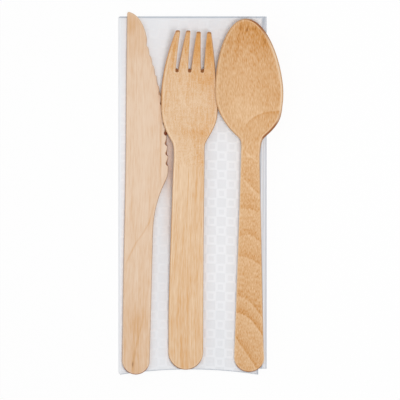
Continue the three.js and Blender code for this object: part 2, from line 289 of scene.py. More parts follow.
@dataclass(frozen=True)
class Zone(Mark):
    """A change along a piece, from none of it at one station to all of it at another."""

    none_at: float
    all_at: float
    strength: float = 1.0

    def drawn(self, x: Array, y: Array) -> Array:
        """Its strength at places across and along the piece."""
        return self.strength * smoothstep(y, self.none_at, self.all_at)


@dataclass(frozen=True)
class Patch(Mark):
    """A stretch of one side: the spans in which it comes in across and along, and goes again along."""

    across: Pair
    rise: Pair
    fall: Pair | None = None  # none where it runs on to the end
    strength: float = 1.0

    def drawn(self, x: Array, y: Array) -> Array:
        """Its strength at places across and along the piece."""
        along = window(y, self.rise, self.fall) if self.fall else smoothstep(y, *self.rise)
        return self.strength * smoothstep(x, *self.across) * along


@dataclass(frozen=True)
class Blot(Mark):
    """A soft round spot: its middle, its half width and its half length."""

    at: Pair
    size: Pair
    strength: float = 1.0

    def drawn(self, x: Array, y: Array) -> Array:
        """Its strength at places across and along the piece."""
        return self.strength * bell(x, self.at[0], self.size[0]) * bell(y, self.at[1], self.size[1])


@dataclass(frozen=True)
class Vein(Mark):
    """A thin line through some places, from the lowest up, which fades at both its ends."""

    path: tuple[Pair, ...]
    half_width: float
    strength: float = 1.0

    def drawn(self, x: Array, y: Array) -> Array:
        """Its strength at places across and along the piece.

        Args:
            x: Places across.
            y: Places along.

        Returns:
            The strengths.
        """
        line_x, line_y = np.array(self.path, dtype=float).T
        low, high = line_y[0], line_y[-1]
        fade = (high - low) / 6
        length = window(y, (low - fade, low + fade), (high - fade, high + fade))
        return self.strength * length * bell(x, np.interp(y, line_y, line_x), self.half_width)


@dataclass(frozen=True)
class GrowthLine(Mark):
    """The edge of a year's growth, arched down from an apex or slanting down from a place."""

    start: Pair
    strength: float
    drop: float = 0.0
    slope: float = 0.0
    fade: float = 2.6

    def drawn(self, x: Array, y: Array) -> Array:
        """Its strength at places across and along the piece."""
        out, up = x - self.start[0], y - self.start[1] + self.slope * (x - self.start[0])
        return self.strength * growth_edge((up + self.drop * out**2) / math.hypot(1, self.slope), self.fade)


@dataclass(frozen=True)
class GrainLayer:
    """One scale of a veneer's grain: how wide and long its marks are, and how far they change the tone."""

    across_mm: float
    along_mm: float
    depth: float


@dataclass(frozen=True)
class BirchFinish:
    """Birch veneer: peeled from the log, die-cut, pressed hot and tumbled, with nothing on it.

    The eye gets a pale, dull, silky surface with short darker fibres along the piece, soft clouds where the
    log's yearly growth was peeled at a low angle, rounded edges with a painted highlight and painted shade,
    and brown end grain where the die cut across the fibres, whose colour also paints shade along some
    edges.
    """

    name: str
    pale: str
    body: str
    deep: str
    dark: str
    # colour of the rounded edge: painted shade on the knife and the fork, a painted highlight on the spoon
    edge_light_and_shade: str
    side_grain: str
    # the end grain's own colour, which also paints shade along some edges
    end_grain_and_shade: str
    layers: tuple[GrainLayer, ...]
    ior: float = 1.5
    roughness: float = 0.62
    gloss_range: float = 0.06  # that pale grain is glossier, and deep grain duller
    relief_mm: float = 0.015
    relief_strength: float = 0.6

    def material(self) -> bpy.types.Material:
        """Builds the veneer's material.

        Returns:
            The material.
        """
        material, tree, shader = new_material(self.name)
        place = add_node(tree, "ShaderNodeAttribute", output="Vector", attribute_name=Paint.VENEER.value)
        tone, cut, wall, end = (
            add_node(tree, "ShaderNodeAttribute", output="Fac", attribute_name=paint.value)
            for paint in (Paint.TONE, Paint.CUT, Paint.WALL, Paint.END_GRAIN_AND_SHADE)
        )
        grain = 0.0
        for layer in self.layers:
            spacing = {0: place, 1: (1 / layer.across_mm, 1 / layer.along_mm, 1 / layer.across_mm)}
            scaled = add_node(tree, "ShaderNodeVectorMath", spacing, operation="MULTIPLY")
            noise = add_node(tree, "ShaderNodeTexNoise", {"Vector": scaled, "Scale": 1.0, "Detail": 2.0})
            level = add_node(tree, "ShaderNodeMath", {0: noise, 1: 0.5}, operation="SUBTRACT")
            parts = {0: level, 1: 2 * layer.depth, 2: grain}
            grain = add_node(tree, "ShaderNodeMath", parts, operation="MULTIPLY_ADD")
        total = add_node(tree, "ShaderNodeMath", {0: tone, 1: grain}, operation="ADD")
        spread = {"Value": total, "From Min": TONES[0], "From Max": TONES[-1]}
        ramp = add_node(tree, "ShaderNodeValToRGB", {"Fac": add_node(tree, "ShaderNodeMapRange", spread)})
        elements = ramp.node.color_ramp.elements
        for tone_at in TONES[1:-1]:
            elements.new((tone_at - TONES[0]) / (TONES[-1] - TONES[0]))
        for element, colour in zip(elements, (self.dark, self.deep, self.body, self.pale)):
            element.color = linear(colour)
        bare = add_node(tree, "ShaderNodeMath", {0: wall, 1: end}, operation="MAXIMUM")
        colour = linear(self.end_grain_and_shade)
        # the rounded edge takes its painted shade or highlight colour
        for share, under in ((end, linear(self.side_grain)), (bare, linear(self.edge_light_and_shade)), (cut, ramp)):
            coats = {0: share, MIX_A: under, MIX_B: colour}
            colour = add_node(tree, "ShaderNodeMix", coats, MIX_COLOUR, data_type="RGBA")
        tree.links.new(colour, shader.inputs["Base Color"])
        gloss = {"Value": grain, "From Min": -1.0, "From Max": 1.0}
        gloss |= {"To Min": self.roughness + self.gloss_range, "To Max": self.roughness - self.gloss_range}
        tree.links.new(add_node(tree, "ShaderNodeMapRange", gloss), shader.inputs["Roughness"])
        relief = {"Strength": self.relief_strength, "Distance": self.relief_mm * MM, "Height": grain}
        tree.links.new(add_node(tree, "ShaderNodeBump", relief), shader.inputs["Normal"])
        shader.inputs["IOR"].default_value = self.ior
        return material


@dataclass(frozen=True)
class TissueFinish:
    """White two-ply tissue, creped on the drum and embossed between rolls.

    The eye gets a soft, fully matt white with cloudy fibres, a little greyer where the embossing has
    pressed the plies together, with painted cool-grey shade where the sheet is folded or ends and on its
    lower leaves, and painted brown shade, for light off the wood, where it lies in the narrow gap between
    two pieces of bare wood.
    """

    name: str
    raised: str
    sunk: str
    # painted cool-grey shade at the sheet's edges and folds and on its lower leaves
    crease: str
    # painted brown shade, for light off the wood, in the narrow gaps between the pieces
    gap_shade_colour: str
    cloud_mm: float = 3.0
    cloud_range: Pair = (0.3, 0.7)
    cloud_depth: float = 0.12
    crepe_mm: Pair = (2.5, 0.35)
    relief_mm: float = 0.03
    relief_strength: float = 0.5
    roughness: float = 0.95

    def material(self) -> bpy.types.Material:
        """Builds the tissue's material.

        Returns:
            The material.
        """
        material, tree, shader = new_material(self.name)
        place = add_node(tree, "ShaderNodeAttribute", output="Vector", attribute_name=Paint.SHEET.value)
        sunk, crease, painted_gap_shade = (
            add_node(tree, "ShaderNodeAttribute", output="Fac", attribute_name=paint.value)
            for paint in (Paint.SUNK, Paint.EDGE_SHADE, Paint.PAINTED_GAP_SHADE)
        )
        clouds = {"Vector": place, "Scale": 1 / self.cloud_mm, "Detail": 4.0}
        low, high = self.cloud_range
        drift = {"Value": add_node(tree, "ShaderNodeTexNoise", clouds), "From Min": low, "From Max": high}
        drift |= {"To Min": -self.cloud_depth, "To Max": self.cloud_depth}
        depths = {0: sunk, 1: add_node(tree, "ShaderNodeMapRange", drift)}
        depth = add_node(tree, "ShaderNodeMath", depths, operation="ADD", use_clamp=True)
        # painted shade at edges and folds, then painted brown shade in the gaps between the wooden pieces
        colour = linear(self.raised)
        for share, over in ((depth, self.sunk), (crease, self.crease), (painted_gap_shade, self.gap_shade_colour)):
            coats = {0: share, MIX_A: colour, MIX_B: linear(over)}
            colour = add_node(tree, "ShaderNodeMix", coats, MIX_COLOUR, data_type="RGBA")
        tree.links.new(colour, shader.inputs["Base Color"])
        spacing = {0: place, 1: (1 / self.crepe_mm[0], 1 / self.crepe_mm[1], 1.0)}
        scaled = add_node(tree, "ShaderNodeVectorMath", spacing, operation="MULTIPLY")
        crepe = add_node(tree, "ShaderNodeTexNoise", {"Vector": scaled, "Scale": 1.0, "Detail": 2.0})
        relief = {"Strength": self.relief_strength, "Distance": self.relief_mm * MM, "Height": crepe}
        tree.links.new(add_node(tree, "ShaderNodeBump", relief), shader.inputs["Normal"])
        shader.inputs["Roughness"].default_value = self.roughness
        return material


@dataclass
class FlatVeneer:
    """A utensil as the die cuts it: quads in the plane, their outline and each place's distance from it."""

    places: Array
    quads: Array
    outline: Array
    distance: Array
    across: Array

    @classmethod
    def cut(cls, rows: Array, strips: Strips, edge: float, step: float) -> "FlatVeneer":
        """Draws the quads of strips that lie side by side and share their edges where these meet.

        Args:
            rows: Stations along the piece.
            strips: The left and right edges of each strip at each station.
            edge: The width of the close columns along each edge.
            step: About how wide the other columns are.

        Returns:
            The flat veneer.
        """
        close = np.array([0.0, 0.15, 0.45])
        places, quads, start = [], [], 0
        for left, right in strips:
            inner = np.linspace(0, 1, max(3, round(float(np.max(right - left)) / step)) + 1)
            near = np.minimum(edge, (right - left) / 4)[:, None]
            low, high = left[:, None], right[:, None]
            middle = blend(low + near, high - near, inner)
            x = np.hstack([low + near * close, middle, high - near * close[::-1]])
            y = np.repeat(rows[:, None], x.shape[1], axis=1)
            places.append(np.column_stack([x.ravel(), y.ravel()]))
            index = start + np.arange(x.size).reshape(x.shape)
            corners = (index[:-1, :-1], index[:-1, 1:], index[1:, 1:], index[1:, :-1])
            quads.append(np.column_stack([corner.ravel() for corner in corners]))
            start += x.size
        merged, place_of = np.unique(np.round(np.vstack(places), 5), axis=0, return_inverse=True)
        quads = place_of.reshape(-1)[np.vstack(quads)]
        outline = cls._outline(quads)
        return cls(merged, quads, outline, *cls._measure(merged, outline))

    @staticmethod
    def _outline(quads: Array) -> Array:
        """Finds the edges that only one quad has.

        Args:
            quads: The quads.

        Returns:
            The two places of each such edge, with the veneer on its left.
        """
        edges = np.vstack([quads[:, [a, (a + 1) % 4]] for a in range(4)])
        count = quads.max() + 1
        there, back = edges @ [count, 1], edges @ [1, count]
        return edges[~np.isin(there, back)]

    @staticmethod
    def _measure(places: Array, outline: Array) -> tuple[Array, Array]:
        """Measures each place against the outline.

        Args:
            places: The places.
            outline: The outline's edges.

        Returns:
            Each place's distance from the outline, and how squarely the outline there crosses the grain.
        """
        before, after = np.zeros(len(places), dtype=int), np.zeros(len(places), dtype=int)
        before[outline[:, 1]] = outline[:, 0]
        after[outline[:, 0]] = outline[:, 1]
        tree = KDTree(len(outline))
        for at in outline[:, 0]:
            tree.insert((*places[at], 0), int(at))
        tree.balance()
        near = np.array([tree.find((x, y, 0))[1] for x, y in places])
        spans = []
        for start, end in ((before[near], near), (near, after[near])):
            run, out = places[end] - places[start], places - places[start]
            share = np.clip((run * out).sum(1) / np.maximum((run * run).sum(1), 1e-12), 0, 1)
            spans.append(np.linalg.norm(out - run * share[:, None], axis=1))
        run = places[after[near]] - places[before[near]]
        across = np.abs(run[:, 0]) / np.maximum(np.linalg.norm(run, axis=1), 1e-9)
        return np.minimum(*spans), across


@dataclass(kw_only=True)
class Utensil(ABC):
    """A utensil of pressed veneer. Its own frame has the handle's axis along Y and its end at Y 0."""

    node: str
    slot: str
    finish: BirchFinish
    turn: float
    length: float
    handle_end: float
    neck_at: float
    steps: tuple[float, ...]  # longest step between stations, on the handle and then between the stops
    beside: float = 0.0  # that it lies to the right of the middle of its node's box
    further: float = 0.0  # that it lies further along than the middle of its node's box
    veneer: float = 1.7
    edge_round: float = 0.4
    edge_rings: float = 0.4  # where the cut edge has its rings, as a share of half the thickness
    column: float = 0.45
    end_steps: int = 14
    tip_steps: int = 1  # in the round tip, where there is one
    grain_drift: float = 0.7
    grain_wave: float = 21
    grain_runs: Pair = (1.0, 1.0)  # speed of the grain on handle and head: more gives shorter streaks
    end_grain_from: Pair = (0.25, 0.65)  # how squarely a cut crosses the grain
    # painted shade on the rounded edge, and a painted highlight line inside it
    rim_shade: float = 0.35
    rim_highlight_line: Pair = (0.5, 0.24)  # how far inside the edge its painted highlight line is, and the line's half width
    rim_round: float = 0.35
    marks: tuple[Mark, ...] = ()  # in the wood's tone

    @abstractmethod
    def stops(self) -> tuple[float, ...]:
        """Where the spacing of the stations changes beyond the neck, and last where a round tip starts."""

    @abstractmethod
    def strips(self, y: Array) -> Strips:
        """Left and right edges of each strip at stations along the piece."""

    @abstractmethod
    def cut_shown(self, x: Array, y: Array) -> Array:
        """How much of the cut's colour shows on the rounded edges, at places across and along; less where
        an edge is painted as lit.
        """

    @abstractmethod
    def tone(self, x: Array, y: Array, inset: Array) -> Array:
        """How pale (above 0) or deep (below 0) the wood is by place and inset, with some painted light and
        shade, but for its fine grain.
        """

    def middle(self, x: Array, y: Array) -> Array:
        """Height of the sheet's middle as it lies."""
        return np.zeros_like(x)

    def gauge(self, x: Array, y: Array) -> Array:
        """Thickness of the sheet."""
        return np.full_like(x, self.veneer)

    @abstractmethod
    def painted_edge_shade(self, x: Array, y: Array) -> Array:
        """How much painted shade, in the end grain's colour, lies along a cut that runs along the grain."""

    def lean(self, x: Array, y: Array) -> Array:
        """How far, across and along, the die has left the underside longer than the top."""
        return np.zeros((len(x), 2))

    def bend(self, points: Array) -> Array:
        """Bends the pressed piece out of line."""
        return points

    def rows(self) -> Array:
        """Stations along the piece, closest in its round ends.

        Returns:
            The stations.
        """
        stops = (self.handle_end / 2, self.neck_at, *self.stops())
        runs = steps_of(*zip(stops[:-1], stops[1:], self.steps, strict=True))
        tip = self.length - round_end(self.length - stops[-1], self.tip_steps)
        return np.unique(np.round(np.concatenate([round_end(stops[0], self.end_steps), runs, tip]), 4))

    def end_half(self, y: Array) -> Array:
        """Half the width of the handle's round end."""
        end = self.handle_end / 2
        return ellipse(end, end, end - np.minimum(y, end))

    def taper(self, y: Array) -> Array:
        """How far up the tapered handle stations are, from 0 to 1."""
        end = self.handle_end / 2
        return np.clip((y - end) / (self.neck_at - end), 0, 1)

    def grain_run(self, y: Array) -> Array:
        """Places along the grain."""
        on_handle, on_head = self.grain_runs
        return on_handle * np.minimum(y, self.neck_at) + on_head * np.maximum(y - self.neck_at, 0)

    def marked(self, x: Array, y: Array) -> Array:
        """The change of tone that the wood's marks make."""
        return sum((mark.drawn(x, y) for mark in self.marks), np.zeros_like(x))

    def rim(self, inset: Array, pale: Share, deep: Share) -> Array:
        """Painted light along a cut edge: shade so deep on the rounded edge, with a highlight line so pale
        inside it.
        """
        return pale * bell(inset, *self.rim_highlight_line) - deep * np.exp(-inset / self.rim_round)

    def place(self, points: Array) -> Array:
        """Turns the piece and sets it where its node is.

        Args:
            points: Its points, in its own frame.

        Returns:
            Its points in the shared frame.
        """
        angle = -math.radians(self.turn)
        cos, sin = math.cos(angle), math.sin(angle)
        turned = points @ np.array([[cos, sin, 0], [-sin, cos, 0], [0, 0, 1]])
        low, high = (np.array(corner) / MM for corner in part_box(self.node))
        own_low, own_high = turned.min(0), turned.max(0)
        shift = (low + high - own_low - own_high) / 2
        shift[:2] += self.beside, self.further
        shift[2] = low[2] - own_low[2]
        return turned + shift

    def build(self) -> bpy.types.Object:
        """Builds and dresses the utensil.

        Returns:
            The piece that stands for the node.
        """
        rows = self.rows()
        flat = FlatVeneer.cut(rows, self.strips(rows), self.edge_round, self.column)
        x, y = flat.places.T
        reach = 0.01
        slope_x = (self.middle(x + reach, y) - self.middle(x - reach, y)) / (2 * reach)
        slope_y = (self.middle(x, y + reach) - self.middle(x, y - reach)) / (2 * reach)
        normal = np.column_stack([-slope_x, -slope_y, np.ones_like(x)])
        normal /= np.linalg.norm(normal, axis=1)[:, None]
        base = np.column_stack([x, y, self.veneer / 2 + self.middle(x, y)])
        fall = self.edge_round - np.minimum(flat.distance, self.edge_round)
        lift = self.gauge(x, y) / 2 - self.edge_round + np.sqrt(self.edge_round**2 - fall**2)
        whole, rim = np.arange(len(x)), np.unique(flat.outline)
        levels = [(whole, 1.0), (whole, -1.0), (rim, self.edge_rings), (rim, -self.edge_rings)]
        points = np.vstack([base[at] + normal[at] * (lift[at] * share)[:, None] for at, share in levels])
        who = np.concatenate([at for at, _ in levels])
        below = np.concatenate([np.full(len(at), (1 - share) / 2) for at, share in levels])
        points[:, :2] += self.lean(x, y)[who] * below[:, None]
        across = x + self.grain_drift * np.sin(y / self.grain_wave)
        through = lift[who] * (1 - 2 * below)
        # how much of the cut's colour shows, less where the edges are painted as lit
        cut_shown = self.cut_shown(x, y)
        # the end grain's own colour, and painted shade in that colour along some edges
        end_grain_and_shade = np.maximum(cut_shown * smoothstep(flat.across, *self.end_grain_from), self.painted_edge_shade(x, y))
        paints = {
            Paint.VENEER: np.column_stack([across[who], self.grain_run(y)[who], through]),
            Paint.TONE: self.tone(x, y, flat.distance)[who],
            Paint.CUT: (cut_shown * smoothstep(flat.distance, 1.1 * self.edge_round, 0.1))[who],
            Paint.WALL: smoothstep(below, 0, 0.3),
            Paint.END_GRAIN_AND_SHADE: end_grain_and_shade[who],
        }
        points = self.place(self.bend(points))
        piece = make_piece(self.node + "_veneer", points, self._faces(flat, rim), paints)
        dress(piece, self.node, self.finish.material())
        return piece

    @staticmethod
    def _faces(flat: FlatVeneer, rim: Array) -> Array:
        """The faces of the thickened sheet: its top, its underside and the cut edge between them.

        Args:
            flat: The flat veneer.
            rim: Its places on the outline.

        Returns:
            The four corners of each face.
        """
        count = len(flat.places)
        at_rim = np.zeros(count, dtype=int)
        at_rim[rim] = np.arange(len(rim))
        upper, lower = 2 * count + at_rim[flat.outline], 2 * count + len(rim) + at_rim[flat.outline]
        rings = [flat.outline, upper, lower, count + flat.outline]
        faces = [flat.quads, flat.quads[:, ::-1] + count]
        faces += [np.hstack([low, top[:, ::-1]]) for top, low in zip(rings, rings[1:])]
        return np.vstack(faces)


@dataclass(kw_only=True)
class Knife(Utensil):
    """The knife: a straight back, a toothed edge that is pressed thin, and a round handle end."""

    length: float = 165
    steps: tuple[float, ...] = (0.45, 0.4, 0.15)
    tip_steps: int = 36
    handle_end: float = 12.5
    handle_neck: float = 13.1
    neck_at: float = 61.3
    heel_at: float = 90.5
    heel_fillet: float = 1.4
    heel_sweep: float = 2.4
    blade_width: float = 19.8
    nose_at: float = 150
    nose_width: float = 9.4
    nose_point: float = 1.75
    nose_corner: float = 0.9
    nose_flat: float = 0.2
    back_bow: Swell = Swell(0.3, 95, 35, 35)
    crease_from_back: float = 16.1
    pressed_least: float = 1.1
    pressed_edge: float = 0.9
    first_tooth_at: float = 153.45
    tooth_pitch: float = 4.57
    tooth_count: int = 13
    tooth_depth: float = 0.95
    tooth_deepest: float = 0.75  # share of a tooth's length at which it is deepest
    tooth_draw: float = 1.8  # power of a tooth's long side
    tooth_worn: float = 0.45  # share of a tooth's depth that is left near the nose
    tooth_wear: Pair = (120, 134)
    # painted shade at the teeth's feet, in the end grain's colour, most under the fork
    notch_shade_most: float = 1.4
    notch_shade_low: float = 0.6  # share of the painted shade below the fork
    notch_shade_end: Pair = (126, 136)
    under_fork: Pair = (105, 109)
    lip: float = 0.6
    lip_under_fork: float = 2.2  # times as long
    # edges painted as lit, where the cut's colour is taken off: the tip and the upper teeth
    lit_edges: tuple[Mark, Mark] = (Zone(162, 164, 0.8), Patch((-5, -3), (118, 130), strength=0.8))
    crease_starts: Pair = (-4, 2)  # from the heel
    crease_fades: Pair = (118, 128)
    crease_deep: float = 0.6
    crease_half_width: float = 0.28
    # partly the pressed strip's own paler colour, partly painted light against the shade under the fork's
    # rim
    strip_pale: float = 0.5
    strip_from: Pair = (0.2, 0.8)
    rim_highlight: float = 0.35
    smudge: Mark = Blot((-0.3, 24), (3.6, 4.5), -0.3)
    smudge_streaks: Pair = (0.4, 5.5)  # their share of the smudge, and radians for each millimetre
    marks: tuple[Mark, ...] = (
        # Tanner towards both ends
        Zone(122, 156, -0.35),
        Zone(152, 160, -0.14),
        Zone(128, 105, -0.08),
        Zone(85, 55, -0.15),
        Zone(46, 12, -0.25),
        # Two slanting veins and a small knot
        Vein(((-5.7, 49.6), (-3.5, 54.8), (-1, 60), (2.3, 64.6), (5.1, 69.8), (6.6, 77.6)), 0.4, -0.45),
        Vein(((-1.5, 6), (-0.3, 12.5), (2.1, 22.9)), 0.45, -0.45),
        Vein(((2.1, 22.9), (3, 29.5), (5.5, 42.3)), 0.6, -0.18),
        Blot((-1.7, 4.6), (0.35, 1.2), -1.0),
        Blot((-1.5, 4.4), (0.9, 3.4), -0.25),
    )

    @property
    def back(self) -> float:
        """Where the straight back is, across the piece."""
        return -self.handle_neck / 2

    def stops(self) -> tuple[float, ...]:
        """The heel and the first tooth: the stations between them are the closest."""
        return self.heel_at, self.first_tooth_at

    def edge(self, y: Array) -> Array:
        """The side opposite the back, before the teeth are cut.

        Args:
            y: Stations along the knife.

        Returns:
            Where the side is, across the knife.
        """
        end = self.handle_end / 2
        handle = self.back + blend(self.handle_end, self.handle_neck, self.taper(y))
        along = np.clip((y - self.neck_at) / (self.heel_at - self.neck_at), 0, None)
        sweep = blend(self.handle_neck, self.blade_width, along**self.heel_sweep)
        fall = np.clip((y - self.heel_at) / (self.nose_at - self.heel_at), 0, 1)
        cutting = blend(self.blade_width, self.nose_width, fall**2)
        blade = self.back - filleted_max(-sweep, -cutting, self.heel_fillet)
        beyond = np.maximum(y - self.nose_at, 0)
        nose = ellipse(self.nose_width, self.length - self.nose_at, beyond, self.nose_point)
        nose = self.back + np.maximum(self.nose_corner + self.nose_flat, nose)
        sides = [self.back + end + self.end_half(y), handle, blade]
        return np.select([y < end, y < self.neck_at, y < self.nose_at], sides, nose)

    def spine(self, y: Array) -> Array:
        """The back, with its round handle end and its small corner at the tip.

        Args:
            y: Stations along the knife.

        Returns:
            Where the back is, across the knife.
        """
        end = self.handle_end / 2
        corner = np.clip((y - self.length + self.nose_corner) / self.nose_corner, 0, 1)
        straight = self.back + self.nose_corner * (1 - np.sqrt(1 - corner**2)) + self.back_bow.drawn(y)
        return np.where(y < end, self.back + end - self.end_half(y), straight)

    def teeth(self, y: Array) -> Array:
        """How far the teeth draw in the edge: slowly from a point, then quickly out to the next one.

        Args:
            y: Stations along the knife.

        Returns:
            How far the edge is drawn in.
        """
        line = np.linspace(self.heel_at, self.first_tooth_at, 600)
        run = np.hypot(np.diff(line), np.diff(self.edge(line)))[::-1]
        from_nose = np.concatenate([[0], np.cumsum(run)])[::-1]
        tooth = np.interp(y, line, from_nose, left=-1, right=-1) / self.tooth_pitch
        phase = tooth % 1
        drawn = (phase / self.tooth_deepest) ** self.tooth_draw
        out = 1 - np.clip((phase - self.tooth_deepest) / (1 - self.tooth_deepest), 0, 1) ** 2
        profile = np.where(phase < self.tooth_deepest, drawn, out)
        depth = self.tooth_depth * blend(1, self.tooth_worn, smoothstep(y, *self.tooth_wear))
        return depth * np.where((tooth > 0) & (tooth < self.tooth_count), profile, 0)

    def painted_edge_shade(self, x: Array, y: Array) -> Array:
        """How much painted shade, in the end grain's colour, lies at each tooth's foot on the low half of
        the blade, most under the fork.

        Args:
            x: Places across the knife.
            y: Places along it.

        Returns:
            The shares of the painted shade.
        """
        foot = np.clip(self.notch_shade_most * (self.teeth(y) / self.tooth_depth) ** 2, 0, 1)
        foot = foot * smoothstep(y, *self.notch_shade_end[::-1])
        foot = foot * blend(self.notch_shade_low, 1, smoothstep(y, *self.under_fork))
        return foot * smoothstep(self.edge(y) - x, 2 * self.tooth_depth, self.tooth_depth)

    def cut_shown(self, x: Array, y: Array) -> Array:
        """The cut's colour shows everywhere but at the tip and on the upper teeth, which are painted as
        lit.
        """
        return 1 - np.maximum(*(edge.drawn(x, y) for edge in self.lit_edges))

    def lean(self, x: Array, y: Array) -> Array:
        """A lip under the foot of each tooth, longest under the fork, which carries the painted shade into
        the gap there.
        """
        reach = self.lip * blend(1, self.lip_under_fork, smoothstep(y, *self.under_fork))
        return np.column_stack([reach * self.painted_edge_shade(x, y), 0 * y])

    def strips(self, y: Array) -> Strips:
        """Left and right edges of the knife."""
        return [(self.spine(y), self.edge(y) - self.teeth(y))]

    def crease(self, y: Array) -> Array:
        """Where the pressed strip along the cutting edge starts."""
        least = np.minimum(self.pressed_least, (self.edge(y) - self.spine(y)) / 2)
        return np.minimum(self.back + self.crease_from_back, self.edge(y) - least)

    def gauge(self, x: Array, y: Array) -> Array:
        """Thickness, which is pressed down towards the teeth.

        Args:
            x: Places across the knife.
            y: Places along it.

        Returns:
            The thicknesses.
        """
        heel = (self.heel_at - self.tooth_pitch, self.heel_at)
        nose = (self.nose_at, self.nose_at + 2 * self.tooth_pitch)
        crease = self.crease(y)
        out = np.clip((x - crease) / (self.edge(y) - crease), 0, 1)
        return self.veneer - (self.veneer - self.pressed_edge) * window(y, heel, nose) * out

    def tone(self, x: Array, y: Array, inset: Array) -> Array:
        """The marks, the rim's painted shade and highlight, the crease, its pale strip, partly painted
        light, and a streaky smudge.

        Args:
            x: Places across the flat veneer.
            y: Places along it.
            inset: Their distances from its outline.

        Returns:
            The tones.
        """
        out = x - self.crease(y)
        line = self.crease_deep * bell(out, 0, self.crease_half_width)
        low, high = self.crease_starts
        seen = window(y, (self.heel_at + low, self.heel_at + high), self.crease_fades)
        # the pale strip is partly the pressed wood's own colour and partly painted light against the fork's
        # shade
        strip = seen * (self.strip_pale * smoothstep(out, *self.strip_from) - line)
        share, wave = self.smudge_streaks
        smudge = self.smudge.drawn(x, y) * (1 + share * np.sin(wave * x))
        # painted shade on the rounded edge and a painted highlight line inside it
        rim = self.rim(inset, self.rim_highlight, self.rim_shade * self.cut_shown(x, y))
        return self.marked(x, y) + strip + smudge + rim


@dataclass(kw_only=True)
class HeadedUtensil(Utensil):
    """A utensil whose tapered handle runs into a wider head, which is pressed hollow."""

    neck_width: float
    head_at: float
    head_width: float
    head_drop: float
    neck_fillet: float
    neck_rise: float
    tip_rise: float
    roll: float  # of the neck in degrees, left side up
    head_roll: float
    # painted shade, in the end grain's colour, along the right edge
    shaded_edge: Mark

    def painted_edge_shade(self, x: Array, y: Array) -> Array:
        """How much painted shade, in the end grain's colour, lies along a cut that runs along the grain."""
        return self.shaded_edge.drawn(x, y)

    @abstractmethod
    def beyond(self, y: Array, head: Array) -> Array:
        """Half the width beyond the head's widest part, from half the width there."""

    def half(self, y: Array) -> Array:
        """Half the width of the outline. The head's foot is an ellipse that is eased into the handle.

        Args:
            y: Stations along the piece.

        Returns:
            The half widths.
        """
        end = self.handle_end / 2
        handle = blend(end, self.neck_width / 2, self.taper(y))
        behind = self.head_at - np.minimum(y, self.head_at)
        spare = (self.head_width / 2) ** 2 - handle**2
        rise = spare * (1 - (behind / self.head_drop) ** 2)
        ease = 2 * spare * self.neck_fillet / self.head_drop
        head = np.sqrt(handle**2 + (rise + np.hypot(rise, ease)) / 2)
        return np.select([y < end, y < self.head_at], [self.end_half(y), head], self.beyond(y, head))

    def axis(self, y: Array) -> Array:
        """Height of the axis as it lies: up the handle, down from the neck to the belly, up to the tip.

        Args:
            y: Stations along the piece.

        Returns:
            The heights.
        """
        handle = self.neck_rise * np.clip(y, 0, None) / self.neck_at
        neck = self.neck_rise * smoothstep(y, self.head_at, self.neck_at)
        head = self.tip_rise * ((y - self.head_at) / (self.length - self.head_at)) ** 2
        return np.select([y < self.neck_at, y < self.head_at], [handle, neck], head)

    def twisted(self, points: Array) -> Array:
        """Twists the piece from its handle's end to its neck and on to its belly.

        Args:
            points: Its points.

        Returns:
            The twisted points.
        """
        x, y = points[:, 0], points[:, 1]
        pivot = self.veneer / 2 + self.neck_rise
        up = points[:, 2] - pivot
        degrees = blend(self.roll, self.head_roll, smoothstep(y, self.neck_at, self.head_at))
        angle = np.radians(degrees) * smoothstep(y, 0, self.neck_at)
        across = x * np.cos(angle) + up * np.sin(angle)
        return np.column_stack([across, y, pivot + up * np.cos(angle) - x * np.sin(angle)])


